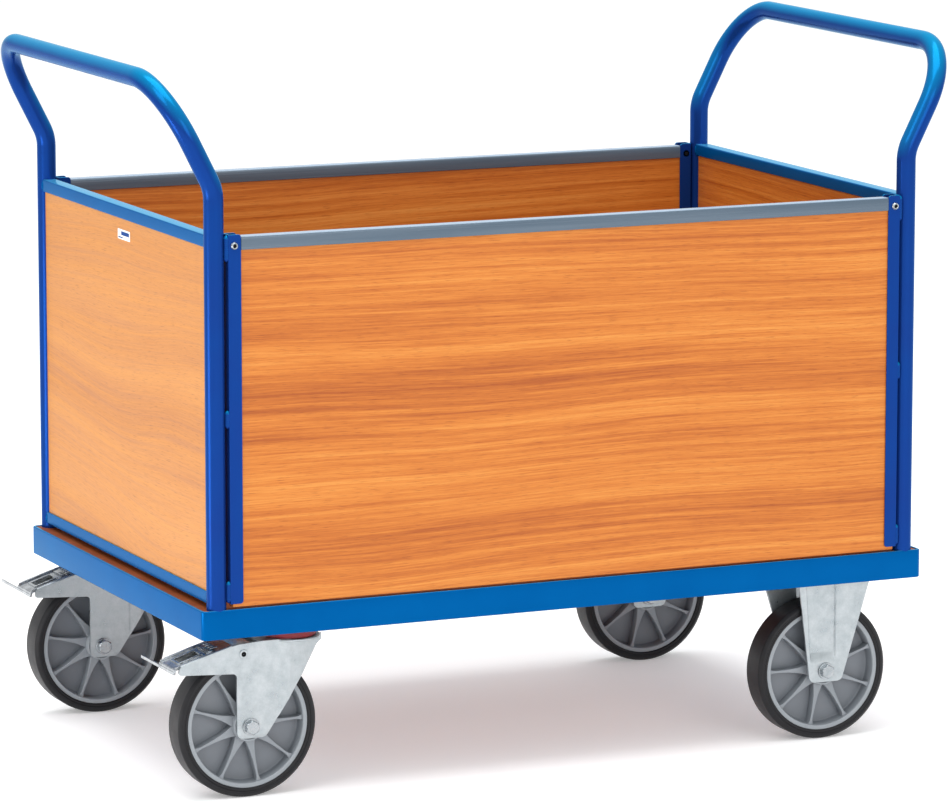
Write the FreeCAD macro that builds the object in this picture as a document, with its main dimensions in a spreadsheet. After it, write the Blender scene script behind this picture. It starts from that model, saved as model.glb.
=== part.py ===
import math
import os

import FreeCAD
import Part
from FreeCAD import Placement, Rotation, Vector

# A four-wheeled platform trolley with four beech walls: a steel angle frame carries the load
# board, two bent tube handles stand on its corners, and the walls hang between them. +X is
# the fixed-wheel end, -Y the front, +Z up. The origin is on the floor under the deck's middle.

DIMENSIONS = {
    # deck frame and board
    "deck_length": 1090,
    "deck_width": 682,
    "deck_top": 268,
    "rail_height": 40,
    "rail_flange": 40,
    "rail_thick": 4,
    "shelf_lift": 8,
    "corner_radius": 8,
    "board_thick": 15,
    "board_gap": 1,
    "bearer_width": 30,
    "bearer_thick": 3,
    # push handles
    "tube_diameter": 27,
    "tube_wall": 2,
    "tube_x": 520,
    "kink_height": 835,
    "kink_radius": 60,
    "bar_height": 979,
    "bar_reach": 73,
    "bar_corner_radius": 90,
    # walls
    "panel_thick": 15,
    "section_width": 20,
    "section_wall": 2.2,
    "slot_clear": 0.3,
    "top_rail_top": 774,
    "top_rail_height": 17,
    "low_rail_bottom": 274,
    "low_rail_height": 17,
    "channel_bottom": 275.5,
    "channel_top": 775,
    "channel_width": 21,
    "side_panel_bottom": 271,
    "cap_top": 772,
    "cap_height": 18,
    "cap_wall": 1.6,
    "screw_height": 760,
    "screw_radius": 3,
    "screw_head_radius": 5,
    "screw_head_height": 4,
    "screw_socket": 5,
    "sleeve_radius": 5.5,
    "sleeve_length": 3.5,
    # the three stitch welds beside each corner channel, measured up from its foot
    "weld_radius": 3.5,
    "weld_low_length": 30,
    "weld_middle_start": 238,
    "weld_middle_length": 25,
    "weld_top_length": 36,
    "label_long": 47,
    "label_high": 14,
    "label_middle_y": -8,
    "label_bottom": 727.5,
    "label_thick": 0.8,
    # casters
    "wheel_radius": 100,
    "rim_radius": 87,
    "tyre_half_width": 23,
    "tread_half_width": 19,
    "hub_radius": 22,
    "hub_half_width": 26,
    "ring_inside": 80,
    "web_half_width": 3,
    "rib_count": 9,
    "rib_half_width": 17,
    "rib_root": 11,
    "rib_tip": 3.6,
    "bearing_radius": 9,
    "bearing_half_width": 28.5,
    "axle_radius": 6,
    "running_gap": 0.05,
    "caster_track": 287,
    "swivel_x": -400,
    "swivel_offset": 68,
    "fixed_x": 406,
    "plate_long": 140,
    "plate_wide": 98,
    "plate_thick": 4,
    "bolt_spacing_x": 105,
    "bolt_spacing_y": 82,
    "bolt_radius": 4,
    "fork_thick": 3.5,
    "fork_half_width": 32.5,
    "crown_top": 217,
    "crown_radius": 43,
    "boss_radius": 33,
    "seal_outside": 37.5,
    "seal_inside": 33.6,
    "seal_height": 8,
    "caster_bolt_head": 5.3,
    "caster_bolt_nut": 6.8,
    "axle_washer_radius": 12,
    "axle_washer_thick": 2.5,
    "axle_head_height": 6.5,
    "axle_nut_height": 9,
    "pivot_back": 78,
    "pivot_height": 201,
    "pedal_thick": 2.5,
    "pedal_half_width": 28.5,
}

doc = FreeCAD.newDocument("platform_trolley")
sheet = doc.addObject("Spreadsheet::Sheet", "dims")
for row, (alias, value) in enumerate(DIMENSIONS.items(), start=1):
    sheet.set(f"A{row}", alias)
    sheet.set(f"B{row}", str(value))
    sheet.setAlias(f"B{row}", alias)
doc.recompute()

nodes = []


def dim(alias):
    """A driving dimension, read from the sheet."""
    return float(sheet.get(alias))


TUBE_Y = dim("deck_width") / 2 - dim("tube_diameter") / 2
FRAME_BOTTOM = dim("deck_top") - dim("rail_height")
SHELF_BOTTOM = FRAME_BOTTOM + dim("shelf_lift")
PLATE_BOTTOM = SHELF_BOTTOM - dim("plate_thick")
UP = Vector(0, 0, 1)
SIDES = {"front": -1, "rear": 1}
ENDS = {"left": -1, "right": 1}
tube_y = "(dims.deck_width - dims.tube_diameter) / 2"
frame_bottom = "(dims.deck_top - dims.rail_height)"
shelf_bottom = "(dims.deck_top - dims.rail_height + dims.shelf_lift)"


# ---------------------------------------------------------------- helpers


def sub_part(label, solid):
    """Names a finished sub-part and puts it on the list of nodes."""
    solid.Label = label
    nodes.append(solid)
    return solid


def bind(target, **expressions):
    """Ties properties of an object to expressions of the driving dimensions."""
    for prop, expression in expressions.items():
        target.setExpression(prop, expression)


def place(target, x="0", y="0", z="0"):
    """Sets where an object stands, each coordinate as an expression."""
    for axis, expression in zip("xyz", (x, y, z)):
        target.setExpression(f".Placement.Base.{axis}", expression)


def box(name, low, size):
    """A block from its low corner and its size, each given as three expressions."""
    block = doc.addObject("Part::Box", name)
    bind(block, Length=size[0], Width=size[1], Height=size[2])
    place(block, *low)
    return block


def centred_box(name, middle_x, middle_y, bottom, size):
    low = (f"{middle_x} - ({size[0]}) / 2", f"{middle_y} - ({size[1]}) / 2", bottom)
    return box(name, low, size)


def upright_cylinder(name, radius, centre, height):
    cylinder = doc.addObject("Part::Cylinder", name)
    bind(cylinder, Radius=radius, Height=height)
    place(cylinder, *centre)
    return cylinder


def cut(name, base, tools):
    """Base less one or more tools."""
    tool = tools[0]
    if len(tools) > 1:
        tool = fuse(f"{name}_tools", tools)
    result = doc.addObject("Part::Cut", name)
    result.Base = base
    result.Tool = tool
    return result


def fuse(name, shapes):
    result = doc.addObject("Part::MultiFuse", name)
    result.Shapes = shapes
    return result


def common(name, shapes):
    result = doc.addObject("Part::MultiCommon", name)
    result.Shapes = shapes
    return result


def upright_edges(block, radius):
    """The edge list that rounds a block's four upright edges."""
    doc.recompute()
    rounded = []
    for number, edge in enumerate(block.Shape.Edges, start=1):
        start, end = (vertex.Point for vertex in edge.Vertexes)
        if abs(start.z - end.z) > 1:
            rounded.append((number, radius, radius))
    return rounded


def rounded_block(name, block, radius):
    result = doc.addObject("Part::Fillet", name)
    result.Base = block
    result.Edges = upright_edges(block, radius)
    return result


def rounded_path(points, radii, closed=False):
    """A wire through the points, each corner an arc of the given radius (0 leaves it sharp)."""
    count = len(points)
    corners = []
    arcs = {}
    for index, point in enumerate(points):
        radius = radii[index]
        is_end = not closed and index in (0, count - 1)
        if radius == 0 or is_end:
            corners.append((point, point))
            continue
        back = (points[index - 1] - point).normalize()
        ahead = (points[(index + 1) % count] - point).normalize()
        half_angle = back.getAngle(ahead) / 2
        reach = radius / math.tan(half_angle)
        towards_centre = (back + ahead).normalize()
        middle = point + towards_centre * (radius / math.sin(half_angle) - radius)
        entry = point + back * reach
        leave = point + ahead * reach
        arcs[index] = Part.Arc(entry, middle, leave).toShape()
        corners.append((entry, leave))
    edges = []
    for index in range(count if closed else count - 1):
        if index in arcs:
            edges.append(arcs[index])
        leave = corners[index][1]
        entry = corners[(index + 1) % count][0]
        if leave.distanceToPoint(entry) > 1e-6:
            edges.append(Part.makeLine(leave, entry))
    return Part.Wire(edges)


def shape_node(label, shape, base=(0, 0, 0)):
    """A sub-part whose shape is made by Part's own functions: it is bent in several planes."""
    feature = doc.addObject("Part::Feature", label)
    feature.Shape = shape
    feature.Placement = Placement(Vector(*base), Rotation())
    return sub_part(label, feature)


def disc(radius, bottom, height, x=0.0, y=0.0):
    """A round upright solid."""
    return Part.makeCylinder(radius, height, Vector(x, y, bottom))


def rod_y(radius, x, z, start, length):
    """A round bar along +Y."""
    return Part.makeCylinder(radius, length, Vector(x, start, z), Vector(0, 1, 0))


def hexagon_prism(across_flats, centre, direction, height):
    """A hexagonal head or nut that stands on centre and points along direction."""
    radius = across_flats / math.sqrt(3)
    turns = [math.radians(60 * number) for number in range(7)]
    corners = [Vector(radius * math.cos(turn), radius * math.sin(turn), 0) for turn in turns]
    prism = Part.Face(Part.makePolygon(corners)).extrude(Vector(0, 0, height))
    prism.Placement = Placement(centre, Rotation(UP, direction))
    return prism


def slab(x0, x1, y0, y1, z0, z1):
    """A block between two limits on each axis."""
    return Part.makeBox(x1 - x0, y1 - y0, z1 - z0, Vector(x0, y0, z0))


# ---------------------------------------------------------------- deck


def caster_middles():
    """The middle of each caster plate, in plan."""
    return [
        (dim(alias), side * dim("caster_track"))
        for alias in ("swivel_x", "fixed_x")
        for side in SIDES.values()
    ]


def bolt_places():
    """Every caster bolt's place, in plan."""
    half_x = dim("bolt_spacing_x") / 2
    half_y = dim("bolt_spacing_y") / 2
    return [
        (x + along * half_x, y + across * half_y)
        for x, y in caster_middles()
        for along in (-1, 1)
        for across in (-1, 1)
    ]


def bolt_hole_tools(name, height):
    """Cylinders that drill the caster bolts' holes up from the shelf's underside."""
    tools = []
    for number, (x, y) in enumerate(bolt_places(), start=1):
        centre = (str(x), str(y), f"{shelf_bottom} - 1")
        tools.append(upright_cylinder(f"{name}_{number}", "dims.bolt_radius + 0.25", centre, height))
    return tools


def ring_block(name, inset, bottom, height):
    """A block over the whole deck, drawn in from its edge all round."""
    size = (f"dims.deck_length - 2 * {inset}", f"dims.deck_width - 2 * {inset}", height)
    return centred_box(name, "0", "0", bottom, size)


def make_frame_ring():
    """The whole frame in one piece: an upright rim with a shelf inside it, a little above its foot."""
    radius = dim("corner_radius")
    inner_radius = radius - dim("rail_thick")
    height = "dims.rail_height"
    above_shelf = f"{shelf_bottom} + dims.rail_thick"
    below_shelf = f"{shelf_bottom} - {height}"
    outer = ring_block("ring_outer", "0", frame_bottom, height)
    hollow = ring_block("ring_hollow", "dims.rail_thick", above_shelf, height)
    under = ring_block("ring_under", "dims.rail_thick", below_shelf, height)
    opening = ring_block("ring_opening", "dims.rail_flange", f"{frame_bottom} - 1", height)
    tools = [
        rounded_block("ring_hollow_rounded", hollow, inner_radius),
        rounded_block("ring_under_rounded", under, inner_radius),
        opening,
    ]
    tools += bolt_hole_tools("ring_hole", "dims.rail_thick + 2")
    return cut("frame_ring", rounded_block("ring_rounded", outer, radius), tools)


def make_rail(label, ring, length, across, turn):
    """One mitred side of the frame: the ring within a wedge with 45 degree ends."""
    depth = "(dims.rail_flange + dims.rail_thick)"
    wedge = doc.addObject("Part::Wedge", f"{label}_region")
    wedge.Placement = Placement(Vector(), Rotation(Vector(0, 0, 1), turn))
    bind(
        wedge,
        Xmin=f"-{length} / 2",
        Xmax=f"{length} / 2",
        X2min=f"-{length} / 2 + {depth}",
        X2max=f"{length} / 2 - {depth}",
        Ymin=f"-{across} / 2",
        Ymax=f"-{across} / 2 + {depth}",
        Zmin=frame_bottom,
        Z2min=frame_bottom,
        Zmax="dims.deck_top",
        Z2max="dims.deck_top",
    )
    sub_part(label, common(f"{label}_common", [ring, wedge]))


def make_deck_rails():
    ring = make_frame_ring()
    make_rail("deck_rail_front", ring, "dims.deck_length", "dims.deck_width", 0)
    make_rail("deck_rail_rear", ring, "dims.deck_length", "dims.deck_width", 180)
    make_rail("deck_rail_right", ring, "dims.deck_width", "dims.deck_length", 90)
    make_rail("deck_rail_left", ring, "dims.deck_width", "dims.deck_length", -90)


def make_cross_bearers():
    """Steel angles across the frame that carry the board and take the inner caster bolts."""
    height = "(dims.rail_height - dims.shelf_lift - dims.board_thick - dims.board_gap)"
    span = "(dims.deck_width - 2 * dims.rail_flange)"
    middles = [
        "(dims.swivel_x - dims.bolt_spacing_x / 2)",
        "(dims.swivel_x + dims.bolt_spacing_x / 2)",
        "0",
        "(dims.fixed_x - dims.bolt_spacing_x / 2)",
        "(dims.fixed_x + dims.bolt_spacing_x / 2)",
    ]
    for number, middle in enumerate(middles, start=1):
        name = f"cross_bearer_{number}"
        bar = centred_box(f"{name}_bar", middle, "0", shelf_bottom, ("dims.bearer_width", span, height))
        hollow = box(
            f"{name}_hollow",
            (f"{middle} - dims.bearer_width / 2", f"-{span} / 2", f"{shelf_bottom} + dims.bearer_thick"),
            ("dims.bearer_width - dims.bearer_thick", span, height),
        )
        holes = bolt_hole_tools(f"{name}_hole", "dims.bearer_thick + 2")
        sub_part(name, cut(f"{name}_cut", bar, [hollow] + holes))


def make_deck_board():
    inset = "2 * (dims.rail_thick + dims.board_gap)"
    board = centred_box(
        "board",
        "0",
        "0",
        "dims.deck_top - dims.board_gap - dims.board_thick",
        (f"dims.deck_length - {inset}", f"dims.deck_width - {inset}", "dims.board_thick"),
    )
    sub_part("deck_board", rounded_block("deck_board_rounded", board, dim("corner_radius") / 2))


# ---------------------------------------------------------------- push handles


def handle_tube(end, radius):
    """A solid bar of the given radius along one handle's bent route."""
    leg_x = end * dim("tube_x")
    bar_x = end * (dim("tube_x") + dim("bar_reach"))
    heights = (dim("deck_top"), dim("kink_height"), dim("bar_height"))
    front = [Vector(x, -TUBE_Y, z) for x, z in zip((leg_x, leg_x, bar_x), heights)]
    rear = [Vector(point.x, TUBE_Y, point.z) for point in reversed(front)]
    bends = [0, dim("kink_radius"), dim("bar_corner_radius")]
    path = rounded_path(front + rear, bends + bends[::-1])
    section = Part.Wire(Part.makeCircle(radius, front[0], Vector(0, 0, 1)))
    return path.makePipeShell([section], True, False)


def make_push_handles():
    radius = dim("tube_diameter") / 2
    for end_name, end in ENDS.items():
        outer = handle_tube(end, radius)
        inner = handle_tube(end, radius - dim("tube_wall"))
        shape_node(f"push_handle_{end_name}", outer.cut(inner))


# ---------------------------------------------------------------- walls


def upright_tube_tools(name, x_expression, bottom, height):
    """Cylinders where a handle's two legs stand, to cope whatever meets them."""
    tools = []
    for side_name, side in SIDES.items():
        centre = (x_expression, f"{side} * {tube_y}", bottom)
        tools.append(upright_cylinder(f"{name}_{side_name}", "dims.tube_diameter / 2", centre, height))
    return tools


def make_end_rail(label, end, bottom, height, slot_bottom):
    """A U section between a handle's legs, coped to the round tubes."""
    x = f"{end} * dims.tube_x"
    bar = centred_box(f"{label}_bar", x, "0", bottom, ("dims.section_width", f"2 * {tube_y}", height))
    slot = centred_box(
        f"{label}_slot",
        x,
        "0",
        slot_bottom,
        ("dims.panel_thick + 2 * dims.slot_clear", f"2 * {tube_y}", f"{height} - dims.section_wall"),
    )
    tubes = upright_tube_tools(f"{label}_tube", x, f"{bottom} - 1", f"{height} + 2")
    sub_part(label, cut(f"{label}_cut", bar, [slot] + tubes))


def make_end_walls():
    top_bottom = "(dims.top_rail_top - dims.top_rail_height)"
    low_inside = "(dims.low_rail_bottom + dims.section_wall)"
    panel_top = "(dims.top_rail_top - dims.section_wall - dims.slot_clear)"
    for end_name, end in ENDS.items():
        make_end_rail(f"top_rail_{end_name}", end, top_bottom, "dims.top_rail_height", top_bottom)
        make_end_rail(
            f"low_rail_{end_name}", end, "dims.low_rail_bottom", "dims.low_rail_height", low_inside
        )
        panel = centred_box(
            f"end_{end_name}",
            f"{end} * dims.tube_x",
            "0",
            low_inside,
            (
                "dims.panel_thick",
                f"2 * ({tube_y} - dims.tube_diameter / 2 - dims.slot_clear)",
                f"{panel_top} - {low_inside}",
            ),
        )
        sub_part(f"end_panel_{end_name}", panel)


def side_screw_tool(name, end, side):
    """The hole that one wall screw runs through, along Y."""
    hole = doc.addObject("Part::Cylinder", name)
    hole.Placement = Placement(Vector(), Rotation(Vector(0, 0, 1), Vector(0, 1, 0)))
    bind(hole, Radius="dims.screw_radius + 0.15", Height="2 * dims.section_width")
    x = f"{end} * (dims.tube_x - dims.tube_diameter / 2 - dims.channel_width / 2 - 0.5)"
    y = f"{side} * (dims.deck_width / 2 - dims.section_width / 2) - dims.section_width"
    place(hole, x, y, "dims.screw_height")
    return hole


def weld_bead(name, end, side, start, length):
    """A short weld in the groove between a channel and its handle tube."""
    x = f"{end} * (dims.tube_x - dims.tube_diameter / 2 - 2)"
    y = f"{side} * (dims.deck_width / 2 - dims.weld_radius)"
    return upright_cylinder(name, "dims.weld_radius", (x, y, f"dims.channel_bottom + {start}"), length)


def channel_welds(label, end, side):
    """The three stitch welds beside one corner channel."""
    length = "(dims.channel_top - dims.channel_bottom)"
    return [
        weld_bead(f"{label}_weld_low", end, side, "0", "dims.weld_low_length"),
        weld_bead(
            f"{label}_weld_middle", end, side, "dims.weld_middle_start", "dims.weld_middle_length"
        ),
        weld_bead(
            f"{label}_weld_top", end, side, f"{length} - dims.weld_top_length", "dims.weld_top_length"
        ),
    ]


def make_corner_channel(end_name, end, side_name, side):
    """An upright U section that holds one end of a side panel, stitch welded to the tube."""
    label = f"corner_channel_{side_name}_{end_name}"
    near_tube = "(dims.tube_x - dims.tube_diameter / 2 + 0.5)"
    middle_x = f"{end} * ({near_tube} - dims.channel_width / 2)"
    middle_y = f"{side} * (dims.deck_width / 2 - dims.section_width / 2)"
    length = "(dims.channel_top - dims.channel_bottom)"
    bar = centred_box(
        f"{label}_bar",
        middle_x,
        middle_y,
        "dims.channel_bottom",
        ("dims.channel_width", "dims.section_width", length),
    )
    slot = centred_box(
        f"{label}_slot",
        f"{end} * ({near_tube} - dims.section_wall - dims.channel_width / 2)",
        middle_y,
        "dims.channel_bottom",
        ("dims.channel_width", "dims.panel_thick + 2 * dims.slot_clear", length),
    )
    body = fuse(f"{label}_body", [bar] + channel_welds(label, end, side))
    tube_centre = (f"{end} * dims.tube_x", f"{side} * {tube_y}", "dims.deck_top")
    tube = upright_cylinder(f"{label}_tube", "dims.tube_diameter / 2", tube_centre, "dims.channel_top")
    hole = side_screw_tool(f"{label}_hole", end, side)
    sub_part(label, cut(f"{label}_cut", body, [slot, tube, hole]))


def make_side_wall(side_name, side):
    """The beech panel between two corner channels, and the steel cap over its top edge."""
    middle_y = f"{side} * (dims.deck_width / 2 - dims.section_width / 2)"
    near_tube = "(dims.tube_x - dims.tube_diameter / 2 + 0.5)"
    panel_top = "(dims.cap_top - dims.cap_wall - dims.slot_clear)"
    panel = centred_box(
        f"side_{side_name}",
        "0",
        middle_y,
        "dims.side_panel_bottom",
        (
            f"2 * ({near_tube} - dims.section_wall - dims.slot_clear)",
            "dims.panel_thick",
            f"{panel_top} - dims.side_panel_bottom",
        ),
    )
    holes = []
    for end_name, end in ENDS.items():
        holes.append(side_screw_tool(f"side_{side_name}_hole_{end_name}", end, side))
    sub_part(f"side_panel_{side_name}", cut(f"side_{side_name}_cut", panel, holes))

    cap_length = f"2 * ({near_tube} - dims.channel_width - dims.slot_clear)"
    cap_bottom = "(dims.cap_top - dims.cap_height)"
    cap_size = (cap_length, "dims.section_width", "dims.cap_height")
    slot_wide = "dims.panel_thick + 2 * dims.slot_clear"
    slot_size = (cap_length, slot_wide, "dims.cap_height - dims.cap_wall")
    bar = centred_box(f"cap_{side_name}", "0", middle_y, cap_bottom, cap_size)
    slot = centred_box(f"cap_{side_name}_slot", "0", middle_y, cap_bottom, slot_size)
    sub_part(f"side_cap_{side_name}", cut(f"cap_{side_name}_cut", bar, [slot]))


def make_wall_fasteners():
    """A socket screw through the top of each corner channel, with a sleeve nut inside."""
    x = dim("tube_x") - dim("tube_diameter") / 2 - dim("channel_width") / 2 - 0.5
    outside = dim("deck_width") / 2
    inside = outside - dim("section_width")
    shank = dim("screw_radius")
    head_high = dim("screw_head_height")
    sleeve = dim("sleeve_length")
    overlap = sleeve - 0.5
    z = dim("screw_height")
    pieces = []
    for end in ENDS.values():
        for side in SIDES.values():
            outward = Vector(0, side, 0)
            face = Vector(end * x, side * outside, z)
            back = Vector(end * x, side * inside, z)
            screw_tip = back - outward * overlap
            sleeve_face = back - outward * sleeve
            head = Part.makeCylinder(dim("screw_head_radius"), head_high, face, outward)
            stem = Part.makeCylinder(shank, dim("section_width") + overlap, screw_tip, outward)
            socket_floor = face + outward * (head_high - 2.5)
            socket = hexagon_prism(dim("screw_socket"), socket_floor, outward, head_high)
            nut = Part.makeCylinder(dim("sleeve_radius"), sleeve, sleeve_face, outward)
            nut_bore = Part.makeCylinder(shank, sleeve, screw_tip, outward)
            nut_socket = hexagon_prism(dim("screw_socket"), sleeve_face - outward * 0.5, outward, 1.0)
            pieces.append(head.fuse(stem).cut(socket).removeSplitter())
            pieces.append(nut.cut(nut_bore).cut(nut_socket))
    shape_node("wall_fasteners", Part.makeCompound(pieces))


def make_label_plate():
    plate = centred_box(
        "plate",
        "-(dims.tube_x + dims.panel_thick / 2 + dims.label_thick / 2)",
        "dims.label_middle_y",
        "dims.label_bottom",
        ("dims.label_thick", "dims.label_long", "dims.label_high"),
    )
    sub_part("label_plate", plate)


# ---------------------------------------------------------------- wheels


def arc_profile(sketch, points, radii):
    """Draws a closed outline with rounded corners on a sketch."""
    wire = rounded_path([Vector(x, y, 0) for x, y in points], radii, closed=True)
    for edge in wire.Edges:
        curve = edge.Curve
        if isinstance(curve, Part.Line):
            sketch.addGeometry(Part.LineSegment(edge.Vertexes[0].Point, edge.Vertexes[-1].Point), False)
        else:
            first, last = edge.ParameterRange
            sketch.addGeometry(Part.ArcOfCircle(curve, first, last), False)


def origin_plane(body, role):
    return next(item for item in body.Origin.OriginFeatures if item.Role == role)


def body_sketch(body, name, role):
    sketch = body.newObject("Sketcher::SketchObject", name)
    sketch.AttachmentSupport = [(origin_plane(body, role), "")]
    sketch.MapMode = "FlatFace"
    return sketch


def turned_body(label, points, radii):
    """A PartDesign body turned about Y from a half section in the XY plane (radius, width)."""
    body = doc.addObject("PartDesign::Body", label)
    sketch = body_sketch(body, f"{label}_section", "XY_Plane")
    arc_profile(sketch, points, radii)
    turn = body.newObject("PartDesign::Revolution", f"{label}_turn")
    turn.Profile = sketch
    turn.ReferenceAxis = (sketch, ["V_Axis"])
    turn.Angle = 360
    return body


def both_sides(half):
    """A section that is the same on both sides of the wheel's middle plane."""
    return half + [(radius, -width) for radius, width in reversed(half)]


def make_wheel_ring(label):
    """The ring of a wheel centre, under the tyre."""
    wide = dim("tyre_half_width") - 2.5
    half = [(dim("ring_inside"), wide), (dim("rim_radius"), wide)]
    return turned_body(label, both_sides(half), [1, 0, 0, 1])


def make_wheel_hub(label):
    """The hub of a wheel centre with the thin web round it."""
    half = [
        (dim("bearing_radius"), dim("hub_half_width")),
        (dim("hub_radius"), dim("hub_half_width")),
        (dim("hub_radius"), dim("web_half_width")),
        (dim("ring_inside"), dim("web_half_width")),
    ]
    radii = [0, 1.5, 0, 0]
    return turned_body(label, both_sides(half), radii + radii[::-1])


def make_wheel_ribs(label):
    """Tapered ribs from hub to ring on both faces of the web."""
    hub = dim("hub_radius")
    root = dim("rib_root") / 2
    tip = dim("rib_tip") / 2
    reach = math.sqrt(dim("ring_inside") ** 2 - tip**2)
    web = dim("web_half_width")
    outline = [(hub, -root), (reach, -tip), (reach, tip), (hub, root)]
    wire = Part.makePolygon([Vector(x, web, z) for x, z in outline + outline[:1]])
    rib = Part.Face(wire).extrude(Vector(0, dim("rib_half_width") - web, 0))
    count = int(dim("rib_count"))
    ribs = []
    for number in range(count):
        turned_rib = rib.rotated(Vector(), Vector(0, 1, 0), 360 * number / count)
        ribs += [turned_rib, turned_rib.mirror(Vector(), Vector(0, 1, 0))]
    feature = doc.addObject("Part::Feature", label)
    feature.Shape = Part.makeCompound(ribs)
    return feature


def make_wheel_centre(label):
    """A moulded wheel centre: ring, hub with web, and ribs, touching but kept as simple solids."""
    centre = doc.addObject("Part::Compound", label)
    centre.Links = [
        make_wheel_ring(f"{label}_ring"),
        make_wheel_hub(f"{label}_hub"),
        make_wheel_ribs(f"{label}_ribs"),
    ]
    return centre


def make_tyre(label):
    """A solid rubber tyre with a flat tread and rounded shoulders."""
    wide = dim("tyre_half_width")
    half = [
        (dim("rim_radius"), wide - 1.5),
        (dim("rim_radius") + 2, wide),
        (dim("wheel_radius") - 5, wide - 0.5),
        (dim("wheel_radius"), dim("tread_half_width")),
    ]
    radii = [0, 1, 3, 4]
    return turned_body(label, both_sides(half), radii + radii[::-1])


def make_bearing(label):
    """The roller bearing and its spacer tube in the hub."""
    half = [
        (dim("axle_radius") + dim("running_gap"), dim("bearing_half_width")),
        (dim("bearing_radius") - 1, dim("bearing_half_width")),
        (dim("bearing_radius"), dim("bearing_half_width") - 1),
    ]
    return turned_body(label, both_sides(half), [0, 0, 0, 0, 0, 0])


def make_wheel(name, x, side):
    """Tyre, wheel centre and bearing of one wheel, in that wheel's place."""
    makers = {"tyre": make_tyre, "wheel_centre": make_wheel_centre, "bearing": make_bearing}
    for piece, maker in makers.items():
        body = maker(f"{piece}_{name}")
        place(body, x, f"{side} * dims.caster_track", "dims.wheel_radius")
        sub_part(f"{piece}_{name}", body)


# ---------------------------------------------------------------- casters


def side_profile(points, radii):
    """A flat outline in the XZ plane, extruded through the whole width of a fork."""
    wire = rounded_path([Vector(x, -50, z) for x, z in points], radii, closed=True)
    return Part.Face(wire).extrude(Vector(0, 100, 0))


def bent_strip(outline, side):
    """A sheet of the fork's thickness standing on a bent line, given as (x, outer y) points."""
    thick = dim("fork_thick")
    outer = [Vector(x, side * y, 0) for x, y in outline]
    inner = [Vector(x, side * (y - thick), 0) for x, y in reversed(outline)]
    face = Part.Face(Part.makePolygon(outer + inner + [outer[0]]))
    return face.extrude(Vector(0, 0, dim("deck_top")))


def plate_with_holes(bottom):
    """A caster's top plate about its own middle, with four bolt holes."""
    long = dim("plate_long") / 2
    wide = dim("plate_wide") / 2
    corners = [Vector(-long, -wide, bottom), Vector(long, -wide, bottom)]
    corners += [Vector(long, wide, bottom), Vector(-long, wide, bottom)]
    outline = rounded_path(corners, [8] * 4, closed=True)
    plate = Part.Face(outline).extrude(Vector(0, 0, dim("plate_thick")))
    for along in (-1, 1):
        for across in (-1, 1):
            x = along * dim("bolt_spacing_x") / 2
            y = across * dim("bolt_spacing_y") / 2
            plate = plate.cut(disc(dim("bolt_radius") + 0.25, bottom - 1, dim("plate_thick") + 2, x, y))
    return plate


def swivel_fork_shape():
    """A pressed fork about its swivel axis: crown disc, two bent cheeks and brake arms."""
    half = dim("fork_half_width")
    thick = dim("fork_thick")
    top = dim("crown_top")
    axle_x = -dim("swivel_offset")
    outline = [
        (43, top),
        (-50, top),
        (-88, top - 2.5),
        (-170, 190),
        (-172, 179),
        (-88, 174.5),
        (-88, 84),
        (-47, 84),
        (34, 203),
        (43, 209),
    ]
    profile = side_profile(outline, [0, 40, 60, 6, 4, 6, 9, 9, 4, 3])
    bent = [(-175, half), (-40, half), (10, half - 3), (44, half - 19)]
    cheeks = bent_strip(bent, 1).fuse(bent_strip(bent, -1)).common(profile)
    crown = disc(dim("crown_radius"), top - thick, thick)
    web = slab(-56, 0, -half, half, top - thick, top).common(profile)
    fork = cheeks.fuse([crown, web]).removeSplitter()
    fork = fork.cut(disc(dim("axle_radius") + dim("running_gap"), top - thick - 1, thick + 2))
    fork = fork.cut(rod_y(dim("axle_radius") + 0.1, axle_x, dim("wheel_radius"), -50, 100))
    return fork.cut(rod_y(5, -dim("pivot_back"), dim("pivot_height"), -50, 100))


def swivel_plate_shape():
    """The top plate of a swivel caster with its raised race, about the swivel axis."""
    race_bottom = dim("crown_top") + 0.5
    race = disc(dim("boss_radius"), race_bottom, PLATE_BOTTOM - race_bottom)
    plate = plate_with_holes(PLATE_BOTTOM).fuse(race)
    bore = disc(dim("axle_radius"), race_bottom - 1, SHELF_BOTTOM - race_bottom + 2)
    return plate.cut(bore).removeSplitter()


def king_bolt_shape():
    """The bolt that carries the fork: shank, collar and nut under the crown."""
    under_crown = dim("crown_top") - dim("fork_thick") - 0.3
    shank = disc(dim("axle_radius"), under_crown - 15, SHELF_BOTTOM - under_crown + 15)
    collar = disc(15, under_crown - 3, 3)
    nut = hexagon_prism(19, Vector(0, 0, under_crown - 12), UP, 9)
    return shank.fuse([collar, nut]).removeSplitter()


def seal_shape():
    """The rubber ring that closes the swivel head, riding on the crown."""
    high = dim("seal_height")
    outer = disc(dim("seal_outside"), dim("crown_top"), high)
    return outer.cut(disc(dim("seal_inside"), dim("crown_top") - 1, high + 2))


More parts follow.
